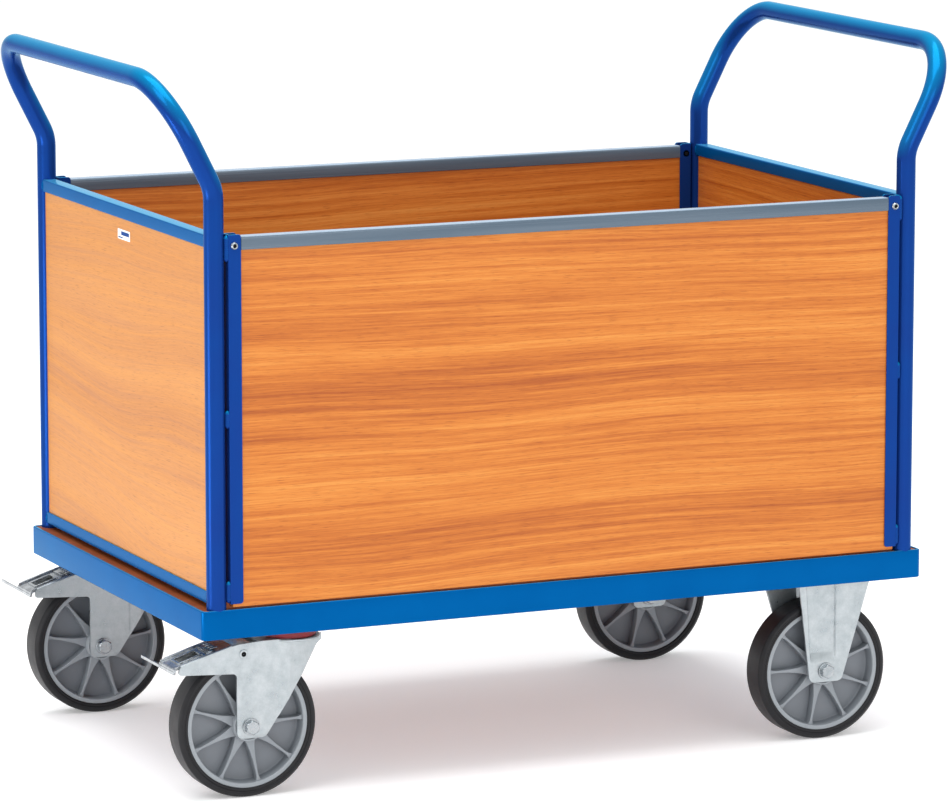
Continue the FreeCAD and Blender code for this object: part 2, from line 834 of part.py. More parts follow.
def axle_pieces(axle_x):
    """An axle bolt with its washers, and its nut, as separate solids, about the caster's middle."""
    radius = dim("axle_radius")
    across_flats = 3 * radius
    half = dim("fork_half_width")
    washer = dim("axle_washer_thick")
    washer_radius = dim("axle_washer_radius")
    outside = half + washer
    nut_high = dim("axle_nut_height")
    z = dim("wheel_radius")
    bolt_end = outside + nut_high + 2.5
    bolt = rod_y(radius, axle_x, z, -half, half + bolt_end)
    head_washer = rod_y(washer_radius, axle_x, z, -outside, washer)
    head_base = Vector(axle_x, -outside, z)
    head = hexagon_prism(across_flats, head_base, Vector(0, -1, 0), dim("axle_head_height"))
    nut_bore = rod_y(radius, axle_x, z, half - 1, washer + nut_high + 2)
    nut_washer = rod_y(washer_radius, axle_x, z, half, washer).cut(nut_bore)
    nut = hexagon_prism(across_flats, Vector(axle_x, outside, z), Vector(0, 1, 0), nut_high)
    return [bolt.fuse([head_washer, head]).removeSplitter(), nut_washer, nut.cut(nut_bore)]


def brake_rivet_pieces():
    """Two hollow rivets, one through each cheek, on which the brake pedal turns."""
    x = -dim("pivot_back")
    z = dim("pivot_height")
    half = dim("fork_half_width")
    pieces = []
    for side in (-1, 1):
        outward = Vector(0, side, 0)
        inner = Vector(x, side * (dim("pedal_half_width") - dim("pedal_thick") - 0.4), z)
        reach = half + 1.2 - abs(inner.y)
        stem = Part.makeCylinder(4.95, reach, inner, outward)
        flange = Part.makeCylinder(6.5, 1.2, Vector(x, side * half, z), outward)
        bore = Part.makeCylinder(3.2, reach + 2, inner - outward, outward)
        pieces.append(stem.fuse(flange).cut(bore).removeSplitter())
    return pieces


def brake_pedal_shape():
    """A pressed brake pedal about the swivel axis: sloped tread, side lugs, brake pad and end bar."""
    half = dim("pedal_half_width")
    thick = dim("pedal_thick")
    pivot_x = -dim("pivot_back")
    pivot_z = dim("pivot_height")
    tread_top = 213.5
    tread = [
        (-62, tread_top),
        (-92, tread_top),
        (-176, 187.5),
        (-178, 180),
        (-175.5, 180),
        (-174, 185.4),
        (-91.5, tread_top - thick),
        (-62, tread_top - thick),
    ]
    wire = Part.makePolygon([Vector(x, -half, z) for x, z in tread + tread[:1]])
    plate = Part.Face(wire).extrude(Vector(0, 2 * half, 0))
    lug_outline = [
        (-64, tread_top),
        (-92, tread_top),
        (-118, 205.5),
        (-112, 200),
        (pivot_x - 8, 193),
        (pivot_x + 8, 193),
    ]
    lug_wire = Part.makePolygon([Vector(x, -half, z) for x, z in lug_outline + lug_outline[:1]])
    lug = Part.Face(lug_wire).extrude(Vector(0, thick, 0))
    far_lug = lug.translated(Vector(0, 2 * half - thick, 0))
    pad = slab(-126, -110, -17, 17, 197.5, 206)
    end_bar = slab(-178, -175.5, -half, half + 66, 180, 184)
    pedal = plate.fuse([lug, far_lug, pad, end_bar])
    window = slab(-164, -136, -13, 13, 170, 220)
    pedal = pedal.cut(window)
    return pedal.cut(rod_y(5, pivot_x, pivot_z, -50, 100)).removeSplitter()


def fixed_fork_shape():
    """A pressed rigid fork about the axle's middle, with its top plate welded on."""
    half = dim("fork_half_width")
    top = PLATE_BOTTOM
    outline = [(-43, top), (-25, 84), (25, 84), (71.5, top)]
    bent = [(-45, half - 3), (-27, half), (27, half), (74, half - 3)]
    cheek = bent_strip(bent, -1).common(side_profile(outline, [0, 9, 9, 0]))
    far_cheek = cheek.rotated(Vector(), Vector(0, 0, 1), 180)
    web = slab(-66, 66, -half + 2, half - 2, top - dim("fork_thick"), top)
    fork = plate_with_holes(top).fuse([cheek, far_cheek, web]).removeSplitter()
    return fork.cut(rod_y(dim("axle_radius") + 0.1, 0, dim("wheel_radius"), -50, 100))


def make_swivel_caster(side_name, side):
    base = (dim("swivel_x"), side * dim("caster_track"), 0)
    offset = dim("swivel_offset")
    shape_node(f"swivel_plate_{side_name}", swivel_plate_shape(), base)
    shape_node(f"king_bolt_{side_name}", king_bolt_shape(), base)
    shape_node(f"swivel_fork_{side_name}", swivel_fork_shape(), base)
    shape_node(f"swivel_seal_{side_name}", seal_shape(), base)
    shape_node(f"swivel_axle_{side_name}", Part.makeCompound(axle_pieces(-offset)), base)
    shape_node(f"brake_rivets_{side_name}", Part.makeCompound(brake_rivet_pieces()), base)
    shape_node(f"brake_pedal_{side_name}", brake_pedal_shape(), base)
    make_wheel(f"swivel_{side_name}", "dims.swivel_x - dims.swivel_offset", side)


def make_fixed_caster(side_name, side):
    base = (dim("fixed_x"), side * dim("caster_track"), 0)
    shape_node(f"fixed_fork_{side_name}", fixed_fork_shape(), base)
    shape_node(f"fixed_axle_{side_name}", Part.makeCompound(axle_pieces(0)), base)
    make_wheel(f"fixed_{side_name}", "dims.fixed_x", side)


def make_caster_fasteners():
    """The hex bolts and nuts that hold the four caster plates to the frame."""
    flange_edge = dim("deck_width") / 2 - dim("rail_flange")
    radius = dim("bolt_radius")
    across_flats = 13
    head_high = dim("caster_bolt_head")
    pieces = []
    for x, y in bolt_places():
        on_flange = abs(y) > flange_edge
        seat = SHELF_BOTTOM + (dim("rail_thick") if on_flange else dim("bearer_thick"))
        head = hexagon_prism(across_flats, Vector(x, y, PLATE_BOTTOM - head_high), UP, head_high)
        shank = disc(radius, PLATE_BOTTOM - 1, seat + 10 - PLATE_BOTTOM, x, y)
        nut = hexagon_prism(across_flats, Vector(x, y, seat), UP, dim("caster_bolt_nut"))
        pieces.append(head.fuse(shank).removeSplitter())
        pieces.append(nut.cut(disc(radius, seat - 1, 12, x, y)))
    shape_node("caster_fasteners", Part.makeCompound(pieces))


# ---------------------------------------------------------------- build


def build():
    make_deck_rails()
    make_cross_bearers()
    make_deck_board()
    make_push_handles()
    make_end_walls()
    for side_name, side in SIDES.items():
        for end_name, end in ENDS.items():
            make_corner_channel(end_name, end, side_name, side)
        make_side_wall(side_name, side)
    make_wall_fasteners()
    make_label_plate()
    make_caster_fasteners()
    for side_name, side in SIDES.items():
        make_swivel_caster(side_name, side)
        make_fixed_caster(side_name, side)


def check_and_export():
    """Stops on any failed object or bad shape, then writes one STEP file per sub-part."""
    doc.recompute()
    for item in doc.Objects:
        if "Invalid" in item.State or "Error" in item.State:
            raise RuntimeError(f"{item.Label} failed: {item.State}")
    for node in nodes:
        if node.Shape.isNull() or not node.Shape.isValid() or not node.Shape.Solids:
            raise RuntimeError(f"{node.Label} has a bad shape")
    os.makedirs("parts", exist_ok=True)
    for node in nodes:
        node.Shape.exportStep(f"parts/{node.Label}.step")


build()
check_and_export()
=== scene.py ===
import math

import bmesh
import bpy
from mathutils import Matrix, Vector


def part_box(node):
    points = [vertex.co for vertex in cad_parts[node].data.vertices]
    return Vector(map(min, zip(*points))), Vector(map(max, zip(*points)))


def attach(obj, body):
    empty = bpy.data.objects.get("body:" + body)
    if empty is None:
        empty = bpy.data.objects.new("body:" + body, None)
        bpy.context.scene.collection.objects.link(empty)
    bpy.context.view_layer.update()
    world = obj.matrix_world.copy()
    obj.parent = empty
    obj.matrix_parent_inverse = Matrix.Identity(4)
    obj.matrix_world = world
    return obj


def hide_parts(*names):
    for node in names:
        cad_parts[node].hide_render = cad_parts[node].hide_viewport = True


# A four-wheeled platform trolley with four beech walls and a bent tube handle at each end.
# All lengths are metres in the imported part's frame: +X the fixed-wheel end, -Y the front.

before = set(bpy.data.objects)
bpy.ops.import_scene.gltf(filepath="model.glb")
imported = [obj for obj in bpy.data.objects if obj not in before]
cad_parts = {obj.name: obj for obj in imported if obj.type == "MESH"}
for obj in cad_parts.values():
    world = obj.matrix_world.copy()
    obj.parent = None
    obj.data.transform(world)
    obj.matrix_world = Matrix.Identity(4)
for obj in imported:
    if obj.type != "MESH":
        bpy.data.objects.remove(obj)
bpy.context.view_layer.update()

HEX_POINTS = 36
SIDES = {"front": -1, "rear": 1}
ENDS = {"left": -1, "right": 1}


# ---------------------------------------------------------------- sizes read from the part


def middle(node):
    """The middle of a node's box."""
    low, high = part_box(node)
    return (low + high) / 2


rail_low, rail_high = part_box("deck_rail_front")
right_low, right_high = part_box("deck_rail_right")
handle_low, handle_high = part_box("push_handle_right")
wheel_low, wheel_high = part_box("tyre_fixed_front")

DECK_HALF_LENGTH = right_high.x
DECK_HALF_WIDTH = -rail_low.y
DECK_TOP = rail_high.z
FRAME_BOTTOM = rail_low.z
RAIL_THICK = 0.004
RAIL_FLANGE = 0.040
SHELF_LIFT = 0.008
DECK_CORNER = 0.008

TUBE_RADIUS = 0.0135
TUBE_X = middle("top_rail_right").x
TUBE_Y = DECK_HALF_WIDTH - TUBE_RADIUS
BAR_X = handle_high.x - TUBE_RADIUS
BAR_Z = handle_high.z - TUBE_RADIUS
KINK_HEIGHT = 0.835
KINK_RADIUS = 0.060
BAR_CORNER_RADIUS = 0.090

SECTION = 0.020
SECTION_WALL = 0.0022
WELD_GAP = 0.0022
CHANNEL_DEPTH = 0.0205

WHEEL_RADIUS = (wheel_high.z - wheel_low.z) / 2
WHEEL_HALF_WIDTH = (wheel_high.y - wheel_low.y) / 2
CASTER_TRACK = middle("tyre_fixed_rear").y
SWIVEL_X = middle("swivel_plate_front").x
FORK_HALF_WIDTH = 0.0325
FORK_THICK = 0.0035
FORK_FOOT = 0.084
PRESS_DEPTH = 0.0042
CROWN_TOP = 0.217
PLATE_THICK = 0.004


# ---------------------------------------------------------------- mesh helpers


def finished(name, bm, body, material, nodes=(), bevel=0.0, steps=2, angle=30):
    """A piece from a bmesh: shaded smooth below the angle, edges bevelled, riding on its body."""
    bmesh.ops.remove_doubles(bm, verts=bm.verts, dist=1e-6)
    bmesh.ops.dissolve_degenerate(bm, dist=1e-6, edges=bm.edges)
    bmesh.ops.recalc_face_normals(bm, faces=bm.faces)
    limit = math.radians(angle)
    for face in bm.faces:
        face.smooth = True
    for edge in bm.edges:
        edge.smooth = edge.calc_face_angle(0.0) < limit
    mesh = bpy.data.meshes.new(name)
    bm.to_mesh(mesh)
    bm.free()
    mesh.materials.append(material)
    piece = bpy.data.objects.new(name, mesh)
    bpy.context.scene.collection.objects.link(piece)
    if bevel:
        soften_edges(piece, bevel, steps, angle)
    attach(piece, body)
    if nodes:
        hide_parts(*nodes)
    return piece


def soften_edges(piece, width, steps=2, angle=30):
    """Bevels the edges sharper than the angle and evens the shading over the flat faces."""
    bevel = piece.modifiers.new("soft_edges", "BEVEL")
    bevel.width = width
    bevel.segments = steps
    bevel.limit_method = "ANGLE"
    bevel.angle_limit = math.radians(angle)
    bevel.harden_normals = True
    even = piece.modifiers.new("even_shading", "WEIGHTED_NORMAL")
    even.keep_sharp = True


def rounded(points, radii, steps=6):
    """A closed 2D outline whose corners are arcs. Each radius may be 0 for a sharp corner."""
    outline = []
    count = len(points)
    for index, (point, radius) in enumerate(zip(points, radii)):
        here = Vector(point)
        back = (Vector(points[index - 1]) - here).normalized()
        ahead = (Vector(points[(index + 1) % count]) - here).normalized()
        if radius == 0:
            outline.append(here)
            continue
        half = back.angle(ahead) / 2
        centre = here + (back + ahead).normalized() * (radius / math.sin(half))
        first = here + back * (radius / math.tan(half)) - centre
        last = here + ahead * (radius / math.tan(half)) - centre
        turn = first.angle_signed(last)
        for step in range(steps + 1):
            share = turn * step / steps
            swung = Matrix.Rotation(-share, 2) @ first
            outline.append(centre + swung)
    return outline


def prism(bm, outline, plane, start, end):
    """Adds a solid whose 2D outline lies in the plane and runs from start to end across it."""
    place = {
        "XY": lambda point, depth: (point[0], point[1], depth),
        "XZ": lambda point, depth: (point[0], depth, point[1]),
        "YZ": lambda point, depth: (depth, point[0], point[1]),
    }[plane]
    low = [bm.verts.new(place(point, start)) for point in outline]
    high = [bm.verts.new(place(point, end)) for point in outline]
    count = len(outline)
    bm.faces.new(low)
    bm.faces.new(high)
    for index in range(count):
        after = (index + 1) % count
        bm.faces.new((low[index], low[after], high[after], high[index]))


def grid_faces(bm, rows, closed_rows=True, closed_columns=True):
    """Joins rows of vertices into quads, round both ways when closed."""
    row_count = len(rows)
    column_count = len(rows[0])
    for row in range(row_count if closed_rows else row_count - 1):
        here = rows[row]
        after = rows[(row + 1) % row_count]
        for column in range(column_count if closed_columns else column_count - 1):
            right = (column + 1) % column_count
            bm.faces.new((here[column], here[right], after[right], after[column]))


def arc_route(points, radii, steps=20):
    """Points along a route whose inner corners are arcs."""
    route = [points[0]]
    for index in range(1, len(points) - 1):
        here = points[index]
        back = (points[index - 1] - here).normalized()
        ahead = (points[index + 1] - here).normalized()
        half = back.angle(ahead) / 2
        radius = radii[index]
        centre = here + (back + ahead).normalized() * (radius / math.sin(half))
        first = here + back * (radius / math.tan(half)) - centre
        axis = back.cross(ahead).normalized()
        for step in range(steps + 1):
            share = -(math.pi - 2 * half) * step / steps
            route.append(centre + Matrix.Rotation(share, 3, axis) @ first)
    route.append(points[-1])
    return route


def tube(bm, route, radius, sides=48):
    """A round bar along a route, closed at both ends. Its rings turn with the route."""
    rows = []
    previous = None
    across = None
    for index, point in enumerate(route):
        before = route[max(index - 1, 0)]
        after = route[min(index + 1, len(route) - 1)]
        along = (after - before).normalized()
        if previous is None:
            across = along.orthogonal().normalized()
        else:
            across = (previous.rotation_difference(along) @ across).normalized()
        previous = along
        other = along.cross(across)
        ring = []
        for side in range(sides):
            turn = 2 * math.pi * side / sides
            way = across * math.cos(turn) + other * math.sin(turn)
            ring.append(bm.verts.new(point + way * radius))
        rows.append(ring)
    grid_faces(bm, rows, closed_rows=False)
    bm.faces.new(rows[0])
    bm.faces.new(rows[-1])


def kept(node, material, bevel, angle=30):
    """The part's own shape of a node, with soft edges and a finish."""
    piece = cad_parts[node]
    weld = piece.modifiers.new("joined", "WELD")
    weld.merge_threshold = 1e-6
    soften_edges(piece, bevel, 2, angle)
    piece.data.materials.clear()
    piece.data.materials.append(material)
    return piece


def turned(bm, profile, centre, axis="Z", steps=64):
    """Turns a closed (radius, height) section about an upright or a Y axis through the centre."""
    rows = []
    for step in range(steps):
        turn = 2 * math.pi * step / steps
        row = []
        for radius, height in profile:
            across = (radius * math.cos(turn), radius * math.sin(turn))
            spot = (*across, height) if axis == "Z" else (across[0], height, across[1])
            row.append(bm.verts.new(centre + Vector(spot)))
        rows.append(row)
    grid_faces(bm, rows)


def ringed(bm, rings, spot_of):
    """Joins rings of equal size into a closed skin; spot_of places each (ring, point)."""
    rows = [[bm.verts.new(spot_of(ring, point)) for point in range(HEX_POINTS)] for ring in rings]
    grid_faces(bm, rows, closed_rows=False)
    bm.faces.new(rows[0])
    bm.faces.new(rows[-1])


def hex_reach(turn, across_flats):
    """The distance from a hexagon's middle to its edge at an angle."""
    sixth = math.pi / 3
    offset = (turn + sixth / 2) % sixth - sixth / 2
    return across_flats / 2 / math.cos(offset)


def hex_head(bm, base, outward, across_flats, height, roll=0.3):
    """A chamfered hexagonal head or nut standing on its base along the Y or Z axis."""
    axis = Vector(outward)
    side = axis.orthogonal().normalized()
    other = axis.cross(side)
    inner = across_flats * 0.47
    chamfer = across_flats * 0.07
    rings = [(0.0, False), (height - chamfer, False), (height, True)]

    def spot(ring, point):
        depth, rounded_off = ring
        turn = 2 * math.pi * point / HEX_POINTS + roll
        reach = inner if rounded_off else hex_reach(turn - roll, across_flats)
        return Vector(base) + axis * depth + (side * math.cos(turn) + other * math.sin(turn)) * reach

    ringed(bm, rings, spot)


def bead(bm, start, end, radius, ripple=0.08):
    """A weld bead: a short bar with closely spaced ripples and rounded ends."""
    start = Vector(start)
    end = Vector(end)
    along = (end - start).normalized()
    length = (end - start).length
    across = along.orthogonal().normalized()
    other = along.cross(across)
    count = max(int(length / 0.0007), 8)
    rows = []
    for step in range(count + 1):
        reach = length * step / count
        cap = min(1.0, math.sqrt(max(min(reach, length - reach), 0.0) / radius + 0.02))
        wave = 1.0 - ripple * abs(math.sin(math.pi * reach / 0.0028))
        ring = []
        for side in range(16):
            turn = 2 * math.pi * side / 16
            way = across * math.cos(turn) + other * math.sin(turn)
            ring.append(bm.verts.new(start + along * reach + way * radius * cap * wave))
        rows.append(ring)
    grid_faces(bm, rows, closed_rows=False)
    bm.faces.new(rows[0])
    bm.faces.new(rows[-1])


def sheet(bm, outline, cuts, outer_y, inward, thick):
    """A pressed sheet in the XZ plane. It is cut along lines, then each point is set to its depth."""
    made = bmesh.new()
    made.faces.new([made.verts.new((x, 0.0, z)) for x, z in outline])
    for point, normal in cuts:
        everything = made.verts[:] + made.edges[:] + made.faces[:]
        bmesh.ops.bisect_plane(
            made,
            geom=everything,
            dist=1e-6,
            plane_co=(point[0], 0.0, point[1]),
            plane_no=(normal[0], 0.0, normal[1]),
        )
    for vert in made.verts:
        vert.co.y = outer_y(vert.co.x, vert.co.z)
    grown = bmesh.ops.extrude_face_region(made, geom=made.faces[:])
    for item in grown["geom"]:
        if isinstance(item, bmesh.types.BMVert):
            item.co.y += inward * thick
    mesh = bpy.data.meshes.new("pressed_sheet")
    made.to_mesh(mesh)
    made.free()
    bm.from_mesh(mesh)
    bpy.data.meshes.remove(mesh)


def blend_between(value, low, high):
    """0 below low, 1 above high, eased in between."""
    share = min(max((value - low) / (high - low), 0.0), 1.0)
    return share * share * (3 - 2 * share)


# ---------------------------------------------------------------- finishes


def add(tree, kind, inputs=None, **settings):
    """Adds a shader node; inputs are values or the outputs of other nodes."""
    made = tree.nodes.new("ShaderNode" + kind)
    for name, value in settings.items():
        setattr(made, name, value)
    for name, value in (inputs or {}).items():
        if isinstance(value, bpy.types.NodeSocket):
            tree.links.new(value, made.inputs[name])
        else:
            made.inputs[name].default_value = value
    return made


def surface(name, **values):
    """A material with its Principled shader's plain values set."""
    material = bpy.data.materials.new(name)
    material.use_nodes = True
    shader = material.node_tree.nodes["Principled BSDF"]
    for socket, value in values.items():
        shader.inputs[socket.replace("_", " ")].default_value = value
    return material, material.node_tree, shader


def place_of(tree, scale):
    """Object coordinates stretched by a scale along each axis."""
    spot = add(tree, "TexCoord")
    return add(tree, "Mapping", {"Vector": spot.outputs["Object"], "Scale": scale}).outputs["Vector"]


def noise(tree, vector, scale, detail=4.0, roughness=0.55):
    """A noise value about 0.5 over the given coordinates."""
    values = {"Vector": vector, "Scale": scale, "Detail": detail, "Roughness": roughness}
    return add(tree, "TexNoise", values).outputs["Fac"]


def ramp(tree, factor, stops):
    """A colour ramp; stops are (position, linear colour)."""
    made = add(tree, "ValToRGB", {"Fac": factor})
    elements = made.color_ramp.elements
    while len(elements) < len(stops):
        elements.new(0.5)
    for element, (position, colour) in zip(elements, stops):
        element.position = position
        element.color = (*colour, 1.0)
    return made.outputs["Color"]


def spread(tree, factor, low, high, from_low=0.3, from_high=0.7):
    """Maps a noise onto a range of values."""
    source = {"Value": factor, "From Min": from_low, "From Max": from_high}
    return add(tree, "MapRange", {**source, "To Min": low, "To Max": high}).outputs["Result"]


def bump(tree, height, distance):
    """Fine relief: a normal from a height pattern."""
    made = add(tree, "Bump", {"Height": height, "Distance": distance, "Strength": 1.0})
    return made.outputs["Normal"]


def dress(tree, shader, tone, roughness, normal):
    """Joins a colour, a roughness and a fine relief to a material's shader."""
    tree.links.new(tone, shader.inputs["Base Color"])
    tree.links.new(roughness, shader.inputs["Roughness"])
    tree.links.new(normal, shader.inputs["Normal"])


def lit_from_above(tree, tone, pale, start=0.80):
    """Blends a tone towards a pale one on faces that look up: a painted highlight for the light falling
    from above.

    The start is how far up a face must look, from 0 for upright to 1 for level.
    """
    facing = add(tree, "TexCoord").outputs["Normal"]
    upward = add(tree, "SeparateXYZ", {"Vector": facing}).outputs["Z"]
    patchy = noise(tree, place_of(tree, (1, 1, 1)), 60.0, 3.0)
    amount = add(tree, "Math", {0: patchy, 1: 0.06, 2: upward}, operation="MULTIPLY_ADD").outputs[0]
    share = spread(tree, amount, 0.0, 1.0, start, 1.0)
    blend = add(tree, "Mix", {"Factor": share}, data_type="RGBA")
    tree.links.new(tone, blend.inputs[6])
    blend.inputs[7].default_value = (*pale, 1.0)
    return blend.outputs[2]


def blue_paint(name, deep, light, pale, start):
    """Smooth powder coat: slight orange peel and a gloss that varies over the surface."""
    material, tree, shader = surface(
        name, Metallic=0.35, Specular_IOR_Level=0.05, Specular_Tint=(0.1, 0.75, 1.0, 1.0)
    )
    spot = place_of(tree, (1, 1, 1))
    cloud = noise(tree, spot, 9.0, 3.0)
    tone = ramp(tree, cloud, [(0.3, deep), (0.7, light)])
    peel = noise(tree, spot, 900.0, 2.0)
    roughness = spread(tree, cloud, 0.15, 0.24)
    # Faces that look up blend towards the pale tone from the start value on: a painted highlight for
    # light from above.
    dress(tree, shader, lit_from_above(tree, tone, pale, start), roughness, bump(tree, peel, 0.00004))
    return material


def wood(name, stops, figure, bow, gloss):
    """Beech decor: bowed growth bands, fine streaks and short dark pores along the grain.

    The figure says how the board stands: "upright" or "flat". The bow is the bands' swing.
    """
    material, tree, shader = surface(name, Specular_IOR_Level=0.35)
    spot = add(tree, "TexCoord").outputs["Object"]
    parts = add(tree, "SeparateXYZ", {"Vector": spot})
    if figure == "upright":
        level = {0: parts.outputs["X"], 1: parts.outputs["Y"]}
        run = add(tree, "Math", level, operation="ADD").outputs[0]
        across = parts.outputs["Z"]
    else:
        run = parts.outputs["X"]
        across = parts.outputs["Y"]

    def along_grain(scale, height):
        grain = add(tree, "CombineXYZ", {"X": run, "Y": height}).outputs["Vector"]
        return add(tree, "Mapping", {"Vector": grain, "Scale": scale}).outputs["Vector"]

    swing = noise(tree, along_grain((1.3, 2.2, 1), across), 1.0, 1.5, 0.4)
    bent = add(tree, "Math", {0: swing, 1: bow, 2: across}, operation="MULTIPLY_ADD").outputs[0]
    bands = noise(tree, along_grain((0.5, 15, 1), bent), 1.0, 2.0, 0.5)
    lines = noise(tree, along_grain((1.5, 135, 1), bent), 1.0, 3.0, 0.6)
    streaks = noise(tree, along_grain((12, 520, 1), bent), 1.0, 3.0, 0.65)
    broad = add(tree, "Math", {0: bands, 1: 0.32}, operation="MULTIPLY").outputs[0]
    middle_tone = add(tree, "Math", {0: lines, 1: 0.40, 2: broad}, operation="MULTIPLY_ADD").outputs[0]
    figure_tone = add(
        tree, "Math", {0: streaks, 1: 0.28, 2: middle_tone}, operation="MULTIPLY_ADD"
    ).outputs[0]
    tone = ramp(tree, figure_tone, stops)
    flecks = noise(tree, along_grain((45, 1100, 1), bent), 1.0, 2.0, 0.5)
    pores = ramp(tree, flecks, [(0.58, (1, 1, 1)), (0.72, (0.66, 0.56, 0.46))])
    mixed_tone = add(tree, "Mix", {"Factor": 1.0}, data_type="RGBA", blend_type="MULTIPLY")
    tree.links.new(tone, mixed_tone.inputs[6])
    tree.links.new(pores, mixed_tone.inputs[7])
    roughness = spread(tree, lines, gloss - 0.05, gloss + 0.08)
    dress(tree, shader, mixed_tone.outputs[2], roughness, bump(tree, flecks, 0.00004))
    return material


def zinc_steel(name, dull, bright, gloss):
    """Zinc on pressed steel: faint rolling marks and a mottled shine."""
    material, tree, shader = surface(name, Metallic=0.75)
    spot = place_of(tree, (1, 1, 1))
    brushed = place_of(tree, (6, 6, 260))
    cloud = noise(tree, spot, 55.0, 5.0)
    flakes = noise(tree, spot, 420.0, 3.0, 0.7)
    lines = noise(tree, brushed, 1.0, 4.0)
    mottle = add(tree, "Math", {0: flakes, 1: 0.35, 2: cloud}, operation="MULTIPLY_ADD").outputs[0]
    tone = ramp(tree, mottle, [(0.50, dull), (0.86, bright)])
    roughness = spread(tree, cloud, gloss - 0.08, gloss + 0.08)
    dress(tree, shader, tone, roughness, bump(tree, lines, 0.00004))
    return material


def cap_steel(name, dull, bright):
    """Rolled strip: a cooler, darker metal with lengthwise rolling lines. Its dark base is partly the
    strip's own tone and partly painted shade for the darker surroundings it reflects; its top faces get
    a painted highlight.
    """
    material, tree, shader = surface(name, Metallic=0.2)
    cloud = noise(tree, place_of(tree, (3, 30, 90)), 1.0, 4.0)
    lines = noise(tree, place_of(tree, (1.5, 60, 420)), 1.0, 4.0)
    tone = ramp(tree, cloud, [(0.3, dull), (0.7, bright)])
    paler = 2.8
    # Faces that look up turn 2.8 times paler: a painted highlight along the top of the strip.
    lit_top_tone = lit_from_above(tree, tone, tuple(paler * part for part in bright))
    dress(tree, shader, lit_top_tone, spread(tree, lines, 0.18, 0.30), bump(tree, lines, 0.00003))
    return material


def bolt_steel():
    """Plated bolts: bright, a little stained, with a soft sheen."""
    material, tree, shader = surface("bolt_steel", Metallic=0.9)
    cloud = noise(tree, place_of(tree, (1, 1, 1)), 90.0, 3.0)
    tone = ramp(tree, cloud, [(0.3, (0.30, 0.33, 0.35)), (0.7, (0.44, 0.47, 0.49))])
    dress(tree, shader, tone, spread(tree, cloud, 0.22, 0.34), bump(tree, cloud, 0.00002))
    return material


def painted_hole_shade():
    """Near-black painted shade for the bottoms of sockets and hollow rivets, where the holes lie in
    shade.
    """
    material, tree, shader = surface("painted_hole_shade", Specular_IOR_Level=0.1)
    cloud = noise(tree, place_of(tree, (1, 1, 1)), 300.0, 3.0)
    tone = ramp(tree, cloud, [(0.3, (0.004, 0.004, 0.005)), (0.7, (0.009, 0.009, 0.010))])
    dress(tree, shader, tone, spread(tree, cloud, 0.55, 0.70), bump(tree, cloud, 0.00002))
    return material


def wheel_plastic():
    """Moulded grey plastic with painted light and shade: darker in the recessed web and paler on the
    raised ribs, hub and ring.
    """
    material, tree, shader = surface("wheel_plastic")
    spot = add(tree, "TexCoord").outputs["Object"]
    across = add(tree, "SeparateXYZ", {"Vector": spot}).outputs["Y"]
    from_middle = add(tree, "Math", {0: across}, operation="ABSOLUTE").outputs[0]
    from_web = add(tree, "Math", {0: from_middle, 1: CASTER_TRACK}, operation="SUBTRACT").outputs[0]
    lifted = add(tree, "Math", {0: from_web}, operation="ABSOLUTE").outputs[0]
    cloud = noise(tree, place_of(tree, (1, 1, 1)), 30.0, 4.0)
    grit = noise(tree, place_of(tree, (1, 1, 1)), 1400.0, 2.0)
    # The tone follows the distance from the wheel's mid-plane: painted shade on the recessed web,
    # painted light on the raised ribs, hub and ring.
    painted_relief_shading = add(tree, "Math", {0: cloud, 1: 0.006, 2: lifted}, operation="MULTIPLY_ADD").outputs[0]
    height = spread(tree, painted_relief_shading, 0.0, 1.0, 0.006, 0.025)
    tone = ramp(
        tree,
        height,
        [
            (0.0, (0.165, 0.182, 0.205)),
            (0.75, (0.235, 0.258, 0.282)),
            (1.0, (0.290, 0.318, 0.342)),
        ],
    )
    dress(tree, shader, tone, spread(tree, cloud, 0.36, 0.48), bump(tree, grit, 0.00004))
    return material


def tyre_rubber():
    """Solid rubber: satin, faintly dusty and finely textured."""
    material, tree, shader = surface("tyre_rubber", Specular_IOR_Level=0.25)
    spot = place_of(tree, (1, 1, 1))
    dust = noise(tree, spot, 55.0, 6.0, 0.65)
    grit = noise(tree, spot, 1100.0, 2.0)
    tone = ramp(tree, dust, [(0.3, (0.008, 0.008, 0.009)), (0.75, (0.015, 0.015, 0.018))])
    dress(tree, shader, tone, spread(tree, dust, 0.38, 0.52), bump(tree, grit, 0.00006))
    return material


def seal_rubber():
    """The red seal ring of a swivel head."""
    material, tree, shader = surface("seal_rubber")
    cloud = noise(tree, place_of(tree, (1, 1, 1)), 120.0, 4.0)
    tone = ramp(tree, cloud, [(0.3, (0.20, 0.006, 0.014)), (0.7, (0.29, 0.010, 0.020))])
    dress(tree, shader, tone, spread(tree, cloud, 0.40, 0.55), bump(tree, cloud, 0.00005))
    return material


def label_face():
    """A white printed plate with a faint satin mottling."""
    material, tree, shader = surface("label_face")
    cloud = noise(tree, place_of(tree, (1, 1, 1)), 180.0, 3.0)
    tone = ramp(tree, cloud, [(0.3, (0.84, 0.85, 0.86)), (0.7, (0.93, 0.93, 0.93))])
    dress(tree, shader, tone, spread(tree, cloud, 0.30, 0.42), bump(tree, cloud, 0.00003))
    return material


SIDE_TONES = [
    (0.37, (0.36, 0.082, 0.008)),
    (0.46, (0.49, 0.136, 0.015)),
    (0.53, (0.58, 0.185, 0.025)),
    (0.63, (0.66, 0.255, 0.046)),
]
# Tones for the left end board only: a copy of the beech tones set for how the light falls on that face,
# so their difference is painted light and shade.
END_TONES = [
    (0.34, (0.42, 0.135, 0.012)),
    (0.46, (0.52, 0.190, 0.024)),
    (0.54, (0.57, 0.220, 0.032)),
    (0.66, (0.62, 0.255, 0.046)),
]
DECK_TONES = [
    (0.38, (0.22, 0.045, 0.008)),
    (0.50, (0.30, 0.070, 0.014)),
    (0.62, (0.36, 0.095, 0.022)),
]
